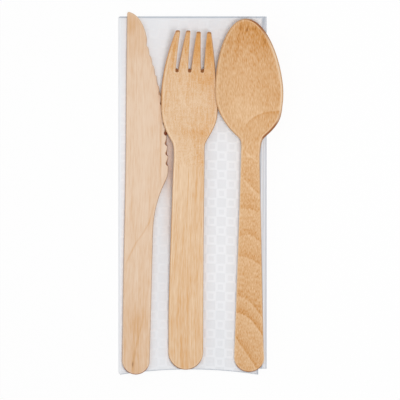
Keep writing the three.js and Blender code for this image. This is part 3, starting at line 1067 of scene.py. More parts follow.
@dataclass(kw_only=True)
class Fork(HeadedUtensil):
    """The fork: four tines on a shallow cupped head, twisted a little from its handle.

    The cupped head cuts across the fibres, so that its streaks are short, and the handle's are long.
    """

    length: float = 153.9
    steps: tuple[float, ...] = (0.5, 0.4, 0.06, 0.35, 0.06)
    handle_end: float = 15.7
    neck_width: float = 13.8
    neck_at: float = 92
    head_at: float = 121.4
    head_width: float = 24.95
    head_drop: float = 18.3
    neck_fillet: float = 1.4
    head_aside: float = 0.88
    tip_aside: float = -0.4
    tip_width: float = 15.8
    neck_rise: float = 3
    tip_rise: float = 8.6
    cup: float = 1.5
    roll: float = 10.5
    head_roll: float = 4
    slot_foot: float = 135.6
    slot_close: float = 0.8  # from its foot, and from the tips, stations are close
    slot_foot_pitch: float = 5.87
    slot_tip_pitch: float = 4.73
    slot_foot_width: float = 1.35
    slot_tip_width: float = 2.8
    tine_round: float = 0.55
    right_tines_short: float = 0.45
    right_tines_from: Pair = (-0.5, 0.5)
    fuller_left: float = 0.45
    fuller_along: tuple[Pair, Pair] = ((5, 30), (88, 102))
    left_hollow: Swell = Swell(-0.3, 121, 5, 5)
    right_shoulder: Swell = Swell(1.1, 114.5, 6.5, 12)
    foot_tongue: float = 1.2
    grain_runs: Pair = (0.5, 3.5)
    # painted shade along the right of the handle and the neck
    shaded_edge: Mark = Patch((2, 5), (40, 80), (106, 116), 0.7)
    lit_edge: Mark = Patch((-2, -5), (60, 85), (116, 126))  # painted as lit, where the cut is as pale as the face
    lit_edge_strength: float = 0.85
    # the edge beside the spoon, painted lighter against the shade the spoon casts there
    by_spoon: Mark = Patch((7, 9), (108, 114), (132, 138), 0.6)
    tips_clean: float = 0.15
    tips_reach: float = 2
    tines_deep: tuple[float, float, float] = (0.58, 0.04, 0.5)  # all, more on the left, more on the right
    tines_along: Pair = (8, 4)  # from so far below the slots' feet to so far below the tips
    tines_left: Pair = (-3, -6)
    tines_right: Pair = (-2, 3)
    neck_deep: Pair = (0.38, -0.12)  # on the right side, and all over
    neck_deep_from: Pair = (0.6, 2.2)
    neck_deep_along: float = 20
    rim_highlight: float = 0.5
    rim_on_lit_edge: Pair = (0.3, 0.1)  # that the lit edge has a paler painted highlight, and less painted shade itself
    rim_on_tines: float = 0.8  # share of the rim that is lost there
    # painted highlight and shade lines inside the head's lit left edge: strength, inset and half width
    rim_light_lines: tuple[tuple[float, float, float], ...] = ((0.35, 0.8, 0.4), (-0.25, 1.5, 0.3))
    rim_light_side: Mark = Patch((-5, -7), (116, 124))
    marks: tuple[Mark, ...] = (
        Zone(106, 118, -0.06),
        Zone(55, 10, -0.15),
        # Clouds on the head, with two pale arcs
        Blot((6, 131.5), (6, 3), -0.45),
        Blot((2.8, 107.5), (7.5, 3.5), -0.42),
        Vein(((12, 121), (5.2, 125)), 1.2, 0.2),
        Vein(((2.5, 115.5), (-4.4, 124)), 1.2, 0.2),
        # Deep streaks along both sides of the handle
        Blot((-5.5, 47.5), (0.8, 8), -0.5),
        Blot((5.8, 51.5), (0.6, 5), -0.5),
    )

    def stops(self) -> tuple[float, ...]:
        """About the slots' feet and below the tips, where the stations are close."""
        foot, close = self.slot_foot, self.slot_close
        return foot - close, foot + close, self.length - close, self.length

    def beyond(self, y: Array, head: Array) -> Array:
        """Half the width over the tines."""
        narrowing = np.clip((y - self.head_at) / (self.length - self.head_at), 0, 1) ** 2
        return blend(head, self.tip_width / 2, narrowing)

    def strips(self, y: Array) -> Strips:
        """Left and right edges of each tine, which run on down the head and the handle.

        Args:
            y: Stations along the fork.

        Returns:
            The two edges of each strip.
        """
        foot, radius = self.slot_foot, self.slot_foot_width / 2
        corner_at, half = self.length - self.tine_round, self.half(y)
        rise = np.clip((y - foot) / (self.length - foot), 0, 1)
        pitch = blend(self.slot_foot_pitch, self.slot_tip_pitch, rise)
        pitch = np.where(y < foot, pitch * half / self.half(np.array([foot])), pitch)
        opening = np.clip((y - foot - radius) / (corner_at - foot - radius), 0, 1)
        straight = blend(radius, self.slot_tip_width / 2, opening)
        bowed = np.sqrt(np.clip(radius**2 - (foot + radius - y) ** 2, 0, None))
        gap = np.select([y <= foot, y < foot + radius], [np.zeros_like(y), bowed], straight)
        tip = np.clip(y - corner_at, 0, self.tine_round)
        inset = self.tine_round - np.sqrt(self.tine_round**2 - tip**2)
        left = half + self.fuller_left * window(y, *self.fuller_along) + self.left_hollow.drawn(y)
        lefts = [-left] + [side * pitch + gap for side in (-1, 0, 1)]
        rights = [side * pitch - gap for side in (-1, 0, 1)] + [half + self.right_shoulder.drawn(y)]
        return [(left + inset, right - inset) for left, right in zip(lefts, rights)]

    def middle(self, x: Array, y: Array) -> Array:
        """Height of the sheet's middle: the pressed axis, with the head's sides cupped up.

        Args:
            x: Places across the fork.
            y: Places along it.

        Returns:
            The heights.
        """
        half = self.head_width / 2
        lift = (half * math.sin(math.radians(self.head_roll))) ** 2 / (4 * self.cup)
        head = smoothstep(y, self.neck_at, self.head_at)
        return self.axis(y) + head * (lift + self.cup * (x / half) ** 2)

    def bend(self, points: Array) -> Array:
        """Twists the neck, sets the head a little to the left and draws in the two tines at the right.

        Args:
            points: The fork's points.

        Returns:
            The bent points.
        """
        bent, y = self.twisted(points), points[:, 1]
        to_tip = np.clip((y - self.head_at) / (self.length - self.head_at), 0, 1)
        aside = blend(self.head_aside, self.tip_aside, to_tip**2)
        bent[:, 0] -= aside * smoothstep(y, self.neck_at, self.head_at)
        up_slots = np.clip((y - self.slot_foot) / (self.length - self.slot_foot), 0, 1)
        bent[:, 1] -= self.right_tines_short * up_slots * smoothstep(points[:, 0], *self.right_tines_from)
        return bent

    def lean(self, x: Array, y: Array) -> Array:
        """A tongue of torn fibres under the foot of each slot.

        Args:
            x: Places across the fork.
            y: Places along it.

        Returns:
            How much longer the underside is, across and along.
        """
        foot, pitch, radius = self.slot_foot, self.slot_foot_pitch, self.slot_foot_width / 2
        out = np.abs(x - pitch * np.clip(np.round(x / pitch), -1, 1)) / radius
        near = smoothstep(y, foot - self.foot_tongue, foot) * (y < foot + radius)
        return np.column_stack([0 * x, self.foot_tongue * near * np.clip(1 - out**4, 0, 1)])

    def cut_shown(self, x: Array, y: Array) -> Array:
        """The cut's colour shows least at the left edge, painted as lit, beside the spoon, painted lighter,
        and on the tips.
        """
        tips = self.tips_clean * smoothstep(y, self.length - self.tips_reach, self.length)
        return 1 - self.lit_edge_strength * self.lit_edge.drawn(x, y) - self.by_spoon.drawn(x, y) - tips

    def tone(self, x: Array, y: Array, inset: Array) -> Array:
        """Deep orange on the right-hand tines and down the right of the neck, with the marks, the rim's
        painted light and shade, and painted highlight and shade lines along the head's left edge.

        Args:
            x: Places across the flat veneer.
            y: Places along it.
            inset: Their distances from its outline.

        Returns:
            The tones.
        """
        below_feet, below_tips = self.tines_along
        on_tines = smoothstep(y, self.slot_foot - below_feet, self.length - below_tips)
        everywhere, left, right = self.tines_deep
        left, right = left * smoothstep(x, *self.tines_left), right * smoothstep(x, *self.tines_right)
        neck_right, neck = self.neck_deep
        neck = neck + neck_right * smoothstep(x, *self.neck_deep_from)
        deep = on_tines * (everywhere + left + right) + bell(y, self.neck_at, self.neck_deep_along) * neck
        # the head's left edge is painted as lit
        lit_share = self.lit_edge.drawn(x, y)
        line, edge = self.rim_on_lit_edge
        # painted shade on the rounded edge and a painted highlight line inside it
        rim = self.rim(inset, self.rim_highlight + line * lit_share, self.rim_shade * self.cut_shown(x, y) - edge * lit_share)
        # painted highlight and shade lines inside the head's left edge
        rim_light = sum(pale * bell(inset, at, half_width) for pale, at, half_width in self.rim_light_lines)
        rim_light = rim_light * self.rim_light_side.drawn(x, y)
        return self.marked(x, y) + (1 - self.rim_on_tines * on_tines) * rim + rim_light - deep


@dataclass(kw_only=True)
class Spoon(HeadedUtensil):
    """The spoon: a pointed oval bowl on a tapered handle, whose curly grain makes its streaks short."""

    length: float = 160.4
    steps: tuple[float, ...] = (0.5, 0.4)
    tip_steps: int = 90
    handle_end: float = 13.5
    neck_width: float = 8.3
    neck_at: float = 98
    head_at: float = 128.2
    head_width: float = 30.1
    head_drop: float = 21.5
    bowl_point: float = 1.75
    neck_fillet: float = 1.5
    neck_rise: float = 3.3
    tip_rise: float = 6.4
    roll: float = -3
    head_roll: float = -3
    bowl_turn: float = 2.6
    turned_at: float = 110
    handle_turn: float = 0.4
    handle_pivot: float = 46
    left_foot: Swell = Swell(0.5, 122, 7, 7)
    right_foot: Swell = Swell(0.7, 114.5, 5, 5)
    right_end: Swell = Swell(0.35, 3, 5, 5)
    grain_runs: Pair = (1.5, 1.0)
    # painted shade along the right of the handle
    shaded_edge: Mark = Patch((1, 4), (8, 14), (114, 122), 0.6)
    bowl_starts: float = 8  # over so far from the neck
    bowl_across: Pair = (-6, 4)
    # how far the bowl's left edge is painted as lit
    lit_left: float = 0.8
    rim_highlight: float = 0.35
    rim_bowl: Pair = (0.2, 0.65)  # that the bowl's rim has a paler painted highlight, at its left and its right
    # painted shade over the right side of the bowl
    right_shade: Pair = (0.14, 12)  # how much, and how far out
    right_shade_along: Pair = (112, 124)
    seam_at: float = 118.8
    seam_drop: float = 6.2
    seam_bend: tuple[float, float, float] = (-1.4, -5, 5)  # its middle, its left end and its length
    seam_lines: tuple[Pair, ...] = ((0.42, 2.6), (0.25, 0.7))  # strength and fade
    seam_across: Pair = (-4, 1)
    marks: tuple[Mark, ...] = (
        Zone(136, 156, -0.62),
        Zone(98, 86, -0.1),
        Patch((9, 3), (116, 128), strength=-0.04),
        # Dark and pale spots at the bowl's top, and its pale foot
        Blot((-3.9, 157.4), (0.5, 1.6), -0.8),
        Blot((7.3, 151), (1.2, 3.5), -0.5),
        Blot((-7.3, 154.5), (1.6, 3.5), 0.4),
        Blot((-3, 119), (9, 7), 0.4),
        Vein(((-1.9, 154), (-0.3, 157.5)), 0.5, -0.7),
        Vein(((-7.5, 138.6), (-4.8, 154.1)), 0.6, -0.25),
        # Pale slanting lines at the neck
        Vein(((3.4, 95.6), (0, 98.0), (-2.5, 100.3)), 0.6, 0.65),
        Vein(((3.6, 79.5), (0, 84.0), (-3.6, 88.0)), 0.6, 0.4),
        # Growth lines down the handle
        GrowthLine((-6.1, 27.1), 0.9, drop=0.071),
        GrowthLine((-6.1, 34.7), 0.6, drop=0.069),
        GrowthLine((-4.9, 52.9), 0.5, drop=0.045),
        GrowthLine((-1.5, 62.8), 0.45, drop=0.1),
        GrowthLine((-2, 74.7), 0.5, drop=0.06),
        GrowthLine((0, 7.0), 0.75, slope=1.47, fade=1.5),
        GrowthLine((0, 85.2), 0.45, slope=1.0, fade=1.5),
    )

    def stops(self) -> tuple[float, ...]:
        """The bowl's widest part, beyond which its round tip is drawn."""
        return (self.head_at,)

    def beyond(self, y: Array, head: Array) -> Array:
        """Half the width of the bowl's pointed end."""
        out = np.maximum(y, self.head_at) - self.head_at
        return ellipse(head, self.length - self.head_at, out, self.bowl_point)

    def strips(self, y: Array) -> Strips:
        """Left and right edges of the spoon, whose bowl is a little lopsided at its foot."""
        half, right = self.half(y), self.right_foot.drawn(y) + self.right_end.drawn(y)
        return [(-half - self.left_foot.drawn(y), half + right)]

    def middle(self, x: Array, y: Array) -> Array:
        """Height of the sheet's middle: a rim from neck to tip, with the bowl hung below it.

        Args:
            x: Places across the spoon.
            y: Places along it.

        Returns:
            The heights.
        """
        base = self.axis(y)
        rim = blend(self.neck_rise, self.tip_rise, (y - self.neck_at) / (self.length - self.neck_at))
        bowl = base + (rim - base) * (x / self.half(y)) ** 2
        return np.where(y < self.neck_at, base, bowl)

    def on_bowl(self, y: Array) -> Array:
        """How far stations are from the neck onto the bowl, from 0 to 1."""
        return smoothstep(y, self.neck_at, self.neck_at + self.bowl_starts)

    def aside(self, y: Array) -> Array:
        """How far the bowl's turn sets the axis to the left."""
        turned = smoothstep(y, self.neck_at, self.turned_at)
        return math.tan(math.radians(self.bowl_turn)) * turned * (y - self.head_at)

    def bend(self, points: Array) -> Array:
        """Twists the bowl, points it a little to the left and turns the handle a little to the right.

        Args:
            points: The spoon's points.

        Returns:
            The bent points.
        """
        bent, y = self.twisted(points), points[:, 1]
        handle = math.tan(math.radians(self.handle_turn)) * (y - self.handle_pivot)
        bent[:, 0] += handle * smoothstep(y, self.turned_at, self.neck_at) - self.aside(y)
        return bent

    def cut_shown(self, x: Array, y: Array) -> Array:
        """The cut's colour shows on the right of the bowl and hardly on its left, which is painted as lit.
        """
        return 1 - self.lit_left * smoothstep(x, *self.bowl_across[::-1]) * self.on_bowl(y)

    def tone(self, x: Array, y: Array, inset: Array) -> Array:
        """The marks and the rim's painted light and shade, with the seam across the bowl's foot and painted
        shade on the right side.

        Args:
            x: Places across the flat veneer.
            y: Places along it.
            inset: Their distances from its outline.

        Returns:
            The tones.
        """
        x = x - self.aside(y)
        seam_x, seam_left, seam_length = self.seam_bend
        out = np.clip(x - seam_x, seam_left, None)
        below = self.seam_at - self.seam_drop * np.exp(-out / seam_length) - y
        seam = sum(strength * growth_edge(below, fade) for strength, fade in self.seam_lines)
        seam = seam * smoothstep(x, *self.seam_across) * (y > self.neck_at)
        # painted shade over the right side of the bowl
        deep, reach = self.right_shade
        right = deep * np.clip(x / reach, -1, 1) * smoothstep(y, *self.right_shade_along)
        bowl = self.on_bowl(y)
        # painted shade on the rounded edge and a painted highlight line inside it
        pale = self.rim_highlight + bowl * blend(*self.rim_bowl, smoothstep(x, *self.bowl_across))
        rim = self.rim(inset, pale, self.rim_shade * (1 - bowl))
        return self.marked(x, y) + seam + rim - right


@dataclass(kw_only=True)
class Napkin:
    """The napkin: one sheet, folded across once and then along twice into four leaves of two layers.

    Its own frame has the fold's outer face at X 0, the top leaf's corners at Y 0 and its underside at Z 0.
    """

    node: str
    slot: str
    finish: TissueFinish
    flat_size: Pair = (270.0, 326.0)
    leaf_width: float = 66.0
    leaf_length: float = 162.5
    paper: float = 0.15
    layer_pitch: float = 0.25
    leaf_pitch: float = 0.5
    top_leaf: int = 3
    open_edge_step: float = 1.5
    open_edge_skew: float = 2.4
    tail_sag: float = 2.4
    tail_step: float = 2.7
    head_step: float = 0.6
    cell: Pair = (4.53, 4.33)  # pitch of the embossed squares
    cell_origin: Pair = (47.8, 103.3)  # middle of one large square
    large_half: float = 1.95
    small_half: float = 1.05
    wall: float = 0.3
    emboss: float = 0.09
    crisp_left: float = 0.5  # how clear the embossing is at the left
    crisp_across: Pair = (18, 40)
    crisp_top: float = 0.3
    crisp_along: Pair = (105, 140)
    # painted cool-grey shade at the sheet's cut edges and folds and on its lower leaves
    edge_shade_width: float = 0.3
    top_fold_shade: float = 0.3
    side_fold_shade: float = 0.5
    lower_leaf_shade: float = 0.1
    lower_edge_shade: float = 0.6
    broad_shade: float = 0.12  # painted shade, as a share of a crease's grey
    broad_shade_ends: tuple[Mark, Mark] = (Zone(118, 145), Zone(45, 10, 0.7))
    broad_shade_left: Mark = Blot((20, 45), (5, 35))
    # painted brown shade in the gap between the knife and the fork's neck, and in the shaded notch under
    # the fork's rim
    shaded_gap: Mark = Vein(((23.2, 60), (24.0, 86), (24.0, 114)), 2.8)
    shaded_spot: Mark = Blot((19.6, 125), (1.3, 3))
    gap_shade: Pair = (0.3, 0.9)  # at the gap's wide and narrow end
    gap_narrows: Pair = (74, 94)
    loft_share: float = 0.012

    @property
    def leaf_thick(self) -> float:
        """Thickness of a leaf's two layers and the gap between them."""
        return self.layer_pitch + self.paper

    @property
    def fold_at(self) -> float:
        """Where the rounds at the fold have their axis."""
        return (self.top_leaf * self.leaf_pitch + self.leaf_thick) / 2

    def cell_lines(self, axis: int, low: float, high: float) -> Array:
        """Lines that the top layer is drawn on, so that the embossed walls fall on them.

        Args:
            axis: 0 across the napkin, 1 along it.
            low: Where the lines start.
            high: Where they end.

        Returns:
            The lines, with both ends.
        """
        pitch, origin, clear = self.cell[axis], self.cell_origin[axis], 0.25
        first, last = math.floor((low - origin) / pitch), math.ceil((high - origin) / pitch)
        middles = origin + pitch * np.arange(first, last + 1)
        walls = [self.small_half, self.small_half + self.wall, self.large_half]
        offsets = np.array([-w for w in walls] + walls + [pitch / 2])
        lines = np.sort((middles[:, None] + offsets).ravel())
        return np.concatenate([[low], lines[(lines > low + clear) & (lines < high - clear)], [high]])

    def raised(self, x: Array, y: Array) -> Array:
        """How far the paper stands up: 0 on the floor of an embossed square, 1 on the borders.

        Args:
            x: Places across the top leaf.
            y: Places along it.

        Returns:
            The share of the emboss.
        """
        column = np.round((x - self.cell_origin[0]) / self.cell[0])
        row = np.round((y - self.cell_origin[1]) / self.cell[1])
        out_x = np.abs(x - self.cell_origin[0] - column * self.cell[0])
        out_y = np.abs(y - self.cell_origin[1] - row * self.cell[1])
        half = np.where((column + row) % 2 == 0, self.large_half, self.small_half)
        return smoothstep(np.maximum(out_x, out_y) - half, 0, self.wall * 0.95)

    def crisp(self, x: Array, y: Array) -> Array:
        """How clear the embossing is: most between fork and spoon, little at the top and the left."""
        across = blend(self.crisp_left, 1.0, smoothstep(x, *self.crisp_across))
        return across * blend(1.0, self.crisp_top, smoothstep(y, *self.crisp_along))

    def painted_gap_shade(self, x: Array, y: Array) -> Array:
        """Painted brown shade, for light off the wood, in the two gaps between the knife and the fork."""
        gap = self.shaded_gap.drawn(x, y) * blend(*self.gap_shade, smoothstep(y, *self.gap_narrows))
        return gap + self.shaded_spot.drawn(x, y)

    def painted_broad_shade(self, x: Array, y: Array) -> Array:
        """Painted shade at both ends and left of the fork's handle, as a share of a full crease's grey."""
        ends = sum(end.drawn(x, y) for end in self.broad_shade_ends)
        return self.broad_shade * np.maximum(ends, self.broad_shade_left.drawn(x, y))

    def leaf_end(self, leaf: Array, share: Array) -> Array:
        """Where a leaf ends at the right.

        Args:
            leaf: The leaf's number, from the bottom.
            share: How far up the napkin, from 0 to 1.

        Returns:
            The ends. The two lowest leaves end in a round that joins them.
        """
        skew = self.open_edge_skew * (1 - share)
        top = self.leaf_width - skew
        second = self.leaf_width + (self.open_edge_step - skew) / 2
        joined = self.leaf_width + self.open_edge_step - (self.leaf_pitch + self.leaf_thick) / 2
        leaves = [leaf == self.top_leaf, leaf == self.top_leaf - 1]
        return np.select(leaves, [top, second], joined + 0 * skew)

    def across(self) -> Array:
        """Stations across the sheet, from the top leaf's open edge to the third leaf's.

        Returns:
            For each: leaf, share of the way from the fold to the leaf's end, step aside, level, the two
            parts of the way that the outer face looks, and the share of the way from the top leaf's
            length to the lower leaves'.
        """
        listed = []

        def level_of(leaf: float) -> float:
            """Height of a leaf's middle."""
            return self.leaf_thick / 2 + leaf * self.leaf_pitch

        def run(leaf: int, shares: Array) -> None:
            """Adds a flat leaf.

            Args:
                leaf: The leaf's number.
                shares: Shares of the way from the fold to the leaf's end.
            """
            up = 1 if shares[0] > shares[-1] else -1
            lower = 0 if leaf == self.top_leaf else 1
            listed.extend((leaf, share, 0, level_of(leaf), 0, up, lower) for share in shares)

        def turn(start: Pair, middle: float, radius: float, span: Pair, facing: int, steps: int) -> None:
            """Adds a round between two leaves.

            Args:
                start: The leaf that it starts from, and its share of the way to the leaf's end.
                middle: The height of its axis, in leaves.
                radius: Its radius.
                span: The angles that it runs between.
                facing: 1 where the outer face looks out of the round, -1 where it looks in.
                steps: Its steps.
            """
            for angle in np.linspace(*span, steps + 1)[1:-1]:
                x, z = math.cos(angle), math.sin(angle)
                lower = (angle - span[0]) / (span[1] - span[0]) if start[0] == self.top_leaf else 1
                level = level_of(middle) + radius * z
                listed.append((*start, radius * x, level, facing * x, facing * z, lower))

        quarter, half_stack, small = math.pi / 2, self.top_leaf / 2, self.leaf_pitch / 2
        plain = np.append(np.linspace(0, 0.97, 8), [0.985, 0.995, 1])
        top = self.cell_lines(0, self.fold_at, self.leaf_width) - self.fold_at
        run(self.top_leaf, top[::-1] / (self.leaf_width - self.fold_at))
        turn((self.top_leaf, 0), half_stack, half_stack * self.leaf_pitch, (quarter, 3 * quarter), 1, 14)
        run(0, plain)
        turn((0, 1), 0.5, small, (-quarter, quarter), 1, 8)
        run(1, plain[::-1])
        turn((1, 0), half_stack, small, (3 * quarter, quarter), -1, 8)
        run(2, plain)
        return np.array(listed, dtype=float)

    def along(self) -> Array:
        """Stations along the sheet: up the front layer, round the top fold and down the back layer.

        Returns:
            For each: share of the way up the leaf, and the angle round the fold.
        """
        up = self.cell_lines(1, 0, self.leaf_length) / self.leaf_length
        round_top = np.linspace(0, math.pi, 9)[1:-1]
        down = np.linspace(1, 0, 19)
        shares = np.concatenate([up, np.ones_like(round_top), down])
        angles = np.concatenate([np.zeros_like(up), round_top, np.full_like(down, math.pi)])
        return np.column_stack([shares, angles])

    def loft(self, x: Array, y: Array) -> Array:
        """How much higher the soft stack stands than when pressed flat, as a share of its height."""
        waves = np.sin(x / 9 + 1.3 * np.sin(y / 31)) * np.sin(y / 17 + 0.8) + np.sin((x + y) / 23)
        return self.loft_share * (waves + 2)

    def build(self) -> bpy.types.Object:
        """Folds and dresses the napkin.

        Returns:
            The piece that stands for the node.
        """
        across, along = self.across(), self.along()
        leaf, share, aside, level, face_x, face_z, lower = (column[:, None] for column in across.T)
        up, angle = (column[None, :] for column in along.T)
        bow = np.where(leaf == self.top_leaf, self.tail_sag * (1 - (2 * share - 1) ** 2), 0)
        tail = blend(bow, self.tail_step, lower)
        head = self.leaf_length + self.head_step * lower - self.leaf_thick / 2
        over = self.fold_at + share * (self.leaf_end(leaf, up) - self.fold_at) + aside
        sheet_x = np.broadcast_to(self.fold_at + share * (self.leaf_width - self.fold_at), over.shape)
        sheet_y = np.broadcast_to(up * self.leaf_length, over.shape)
        on_top = (leaf == self.top_leaf) & (lower == 0) & (angle == 0)
        raised = np.where(on_top, self.raised(sheet_x, sheet_y), 1)
        sides = []
        for side in (0.5, -0.5):
            out = self.layer_pitch / 2 + side * self.paper
            x = over + out * np.cos(angle) * face_x
            y = blend(tail, head, up) + out * np.sin(angle)
            z = level + out * np.cos(angle) * face_z
            z = z * (1 + self.loft(x, y)) + np.where(on_top, self.emboss * raised, 0)
            sides.append(np.stack([x, y, z], axis=-1).reshape(-1, 3))
        # painted shade along the cut edges, at the folds and on the lower leaves
        from_cut = np.minimum((1 - share) * self.leaf_width, up * self.leaf_length)
        cut_edge = np.exp(-from_cut / self.edge_shade_width)
        top_fold = np.exp(-(1 - up) * self.leaf_length / self.edge_shade_width)
        side_fold = self.side_fold_shade * np.clip(-aside / self.fold_at, 0, 1) ** 2
        under = np.maximum(self.lower_leaf_shade, np.maximum(self.lower_edge_shade * cut_edge, top_fold))
        over_top = np.maximum(cut_edge, self.top_fold_shade * top_fold)
        # painted shade at both ends and left of the fork's handle
        over_top = np.maximum(over_top, self.painted_broad_shade(sheet_x, sheet_y))
        crease = np.where(on_top, over_top, np.maximum(side_fold, lower * under))
        flat_place = np.stack([sheet_x + leaf * self.leaf_width, sheet_y, 0 * over], axis=-1).reshape(-1, 3)
        paints = {
            Paint.SHEET: np.vstack([flat_place, flat_place]),
            Paint.SUNK: np.tile(((1 - raised) * self.crisp(sheet_x, sheet_y)).ravel(), 2),
            Paint.EDGE_SHADE: np.tile(crease.ravel(), 2),
            # painted shade in the gaps between the knife and the fork
            Paint.PAINTED_GAP_SHADE: np.tile(self.painted_gap_shade(sheet_x, sheet_y).ravel(), 2),
        }
        points = self.place(np.vstack(sides))
        piece = make_piece("napkin_tissue", points, self._faces(over.shape), paints)
        dress(piece, self.node, self.finish.material())
        return piece

    def place(self, points: Array) -> Array:
        """Sets the napkin where its node is.

        Args:
            points: Its points, in its own frame.

        Returns:
            Its points in the shared frame.
        """
        low, high = (np.array(corner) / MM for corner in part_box(self.node))
        shift = (low + high - points.min(0) - points.max(0)) / 2
        shift[2] = low[2] - points[:, 2].min()
        return points + shift

    @staticmethod
    def _faces(shape: tuple[int, int]) -> Array:
        """The faces of a thin closed sheet.

        Args:
            shape: Its stations across and along.

        Returns:
            The four corners of each face.
        """
        count = shape[0] * shape[1]
        index = np.arange(count).reshape(shape)
        corners = (index[:-1, :-1], index[1:, :-1], index[1:, 1:], index[:-1, 1:])
        quads = np.column_stack([corner.ravel() for corner in corners])
        ring = np.concatenate([index[:-1, 0], index[-1, :-1], index[:0:-1, -1], index[0, :0:-1]])
        after = np.roll(ring, -1)
        rim = np.column_stack([ring + count, after + count, after, ring])
        return np.vstack([quads[:, ::-1], quads + count, rim[:, ::-1]])


@dataclass
class Studio:
    """The camera, the lamp and the white table that the set is photographed on."""

    view_mm: float = 182.3
    view_centre_mm: Pair = (-0.17, -3.18)
    camera_height: float = 2.5
    sensor_mm: float = 36.0
    lamp_at: tuple[float, float, float] = (0.06, 0.02, 0.4)
    lamp_size: float = 0.14
    lamp_watts: float = 0.62
    tent_wall: float = 0.77
    tent_roof: float = 0.55
    tent_left: float = 0.2  # that the left wall is brighter, and the right one darker
    table_size: float = 4.0
    table_below_mm: float = 0.1
    table_roughness: float = 0.9
    table_glow: float = 0.9

    def camera(self) -> None:
        """Sets the camera above the set, looking straight down, with the handle ends at the bottom."""
        lens = bpy.data.cameras.new("camera")
        lens.sensor_width = self.sensor_mm
        lens.lens = self.sensor_mm * self.camera_height / (self.view_mm * MM)
        camera = add_object("camera", lens)
        x, y = (at * MM for at in self.view_centre_mm)
        camera.location = (x, y, self.camera_height)
        bpy.context.scene.camera = camera

    def lamps(self) -> None:
        """Hangs one soft lamp over the spoon's side, in a light tent that is lit through its walls."""
        lamp = bpy.data.lights.new("softbox", "AREA")
        lamp.shape = "DISK"
        lamp.size = self.lamp_size
        lamp.energy = self.lamp_watts
        softbox = add_object("softbox", lamp)
        softbox.location = self.lamp_at
        softbox.rotation_euler = Vector(self.lamp_at).to_track_quat("Z", "Y").to_euler()
        softbox.visible_camera = False
        world = bpy.data.worlds.new("room")
        world.use_nodes = True
        bpy.context.scene.world = world
        tree = world.node_tree
        way = add_node(tree, "ShaderNodeTexCoord", output="Generated")
        axes = add_node(tree, "ShaderNodeSeparateXYZ", {0: way}).node.outputs
        tent = {"Value": axes["Z"], "To Min": self.tent_wall, "To Max": self.tent_roof}
        even = add_node(tree, "ShaderNodeMapRange", tent)
        sides = {0: axes["X"], 1: -self.tent_left, 2: 1.0}
        uneven = add_node(tree, "ShaderNodeMath", sides, operation="MULTIPLY_ADD")
        lit = add_node(tree, "ShaderNodeMath", {0: even, 1: uneven}, operation="MULTIPLY")
        strength = {0: self._looked_at(tree), 2: lit, 3: 1.0}
        level = add_node(tree, "ShaderNodeMix", strength, data_type="FLOAT")
        tree.links.new(level, tree.nodes["Background"].inputs["Strength"])
        tree.nodes["Background"].inputs["Color"].default_value = linear("#ffffff")

    def table(self) -> bpy.types.Object:
        """Lays the white table under the set.

        Returns:
            The table.
        """
        half = self.table_size / 2
        corners = [(-half, -half, 0), (half, -half, 0), (half, half, 0), (-half, half, 0)]
        mesh = bpy.data.meshes.new("table")
        mesh.from_pydata(corners, [], [(0, 1, 2, 3)])
        table = add_object("table", mesh)
        table.location.z = -self.table_below_mm * MM
        mesh.materials.append(self._table_material())
        return table

    @staticmethod
    def _looked_at(tree: bpy.types.NodeTree) -> bpy.types.NodeSocket:
        """Tells the rays that show a surface from those that light one.

        Args:
            tree: The tree that asks.

        Returns:
            1 for a ray from the camera, straight or through gloss or glass, otherwise 0.
        """
        path = add_node(tree, "ShaderNodeLightPath").node.outputs
        either = path["Is Camera Ray"]
        for kind in ("Is Glossy Ray", "Is Transmission Ray"):
            either = add_node(tree, "ShaderNodeMath", {0: either, 1: path[kind]}, operation="MAXIMUM")
        return either

    def _table_material(self) -> bpy.types.Material:
        """White laminate, which the camera sees a little brighter than it is lit, so that it is white.

        Returns:
            The material.
        """
        material, tree, shader = new_material("white_laminate")
        shader.inputs["Base Color"].default_value = linear("#fafafa")
        shader.inputs["Roughness"].default_value = self.table_roughness
        glow = add_node(tree, "ShaderNodeEmission", {"Color": linear("#ffffff"), "Strength": 1.0})
        share = {0: self._looked_at(tree), 1: self.table_glow}
        shown = add_node(tree, "ShaderNodeMath", share, operation="MULTIPLY")
        mix = add_node(tree, "ShaderNodeMixShader", {0: shown, 1: shader.outputs[0], 2: glow})
        tree.links.new(mix, tree.nodes["Material Output"].inputs["Surface"])
        return material


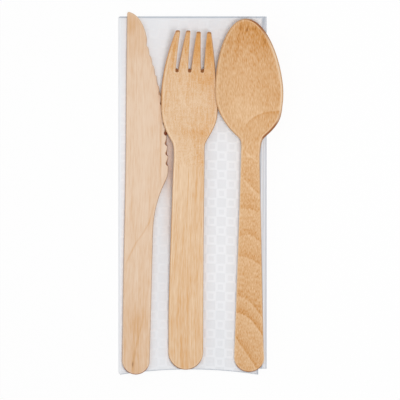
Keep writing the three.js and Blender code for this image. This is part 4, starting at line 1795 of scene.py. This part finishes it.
# Birch vessels are 0.1 mm wide, so each finish draws its finest layers coarser, to show in a picture.
PALE_BIRCH = BirchFinish(
    name="birch_veneer_pale",
    pale="#eed8c2",
    body="#e4c8ad",
    deep="#d5a777",
    dark="#8a5a34",
    edge_light_and_shade="#cfae90",
    side_grain="#c9925f",
    end_grain_and_shade="#8a4520",
    layers=(
        GrainLayer(3.2, 90.0, 0.25),
        GrainLayer(0.8, 30.0, 0.45),
        GrainLayer(0.5, 5.0, 0.55),
        GrainLayer(6.0, 9.0, 0.25),
    ),
)
STRAIGHT_BIRCH = BirchFinish(
    name="birch_veneer_straight",
    pale="#efd3b3",
    body="#e1bd96",
    deep="#d4974e",
    dark="#b8762c",
    edge_light_and_shade="#d8aa78",
    side_grain="#d48f49",
    end_grain_and_shade="#9a6230",
    layers=(
        GrainLayer(2.2, 60.0, 0.3),
        GrainLayer(0.5, 12.0, 0.85),
        GrainLayer(0.4, 2.4, 0.8),
        GrainLayer(5.0, 7.0, 0.3),
    ),
)
CURLY_BIRCH = BirchFinish(
    name="birch_veneer_curly",
    pale="#e8c49b",
    body="#d9ad7d",
    deep="#c6873c",
    dark="#85501f",
    edge_light_and_shade="#e8cbab",
    side_grain="#d2a577",
    end_grain_and_shade="#9a5a22",
    layers=(
        GrainLayer(3.0, 40.0, 0.2),
        GrainLayer(0.4, 2.0, 1.6),
        GrainLayer(3.0, 8.0, 0.18),
        GrainLayer(0.7, 3.5, 0.3),
    ),
)
# the last two colours are painted shade: at edges and folds, and in the gaps between the wooden pieces
TISSUE = TissueFinish(
    name="embossed_tissue", raised="#f2f3f6", sunk="#ebecef", crease="#bcc3cd", gap_shade_colour="#dcbfad"
)


def main() -> None:
    logging.basicConfig(level=logging.INFO, format="%(name)s: %(message)s")
    scene = bpy.context.scene
    scene.view_settings.view_transform = "Standard"
    studio = Studio()
    studio.camera()
    studio.lamps()
    studio.table()
    Napkin(node="napkin", slot="tissue", finish=TISSUE).build()
    Knife(node="knife", slot="birch_pale", finish=PALE_BIRCH, turn=0.83, further=-0.23).build()
    Fork(node="fork", slot="birch_straight", finish=STRAIGHT_BIRCH, turn=1.09, beside=0.57).build()
    Spoon(
        node="spoon", slot="birch_curly", finish=CURLY_BIRCH, turn=0.0, beside=-0.12, further=-0.2
    ).build()


if __name__ == "__main__":
    main()
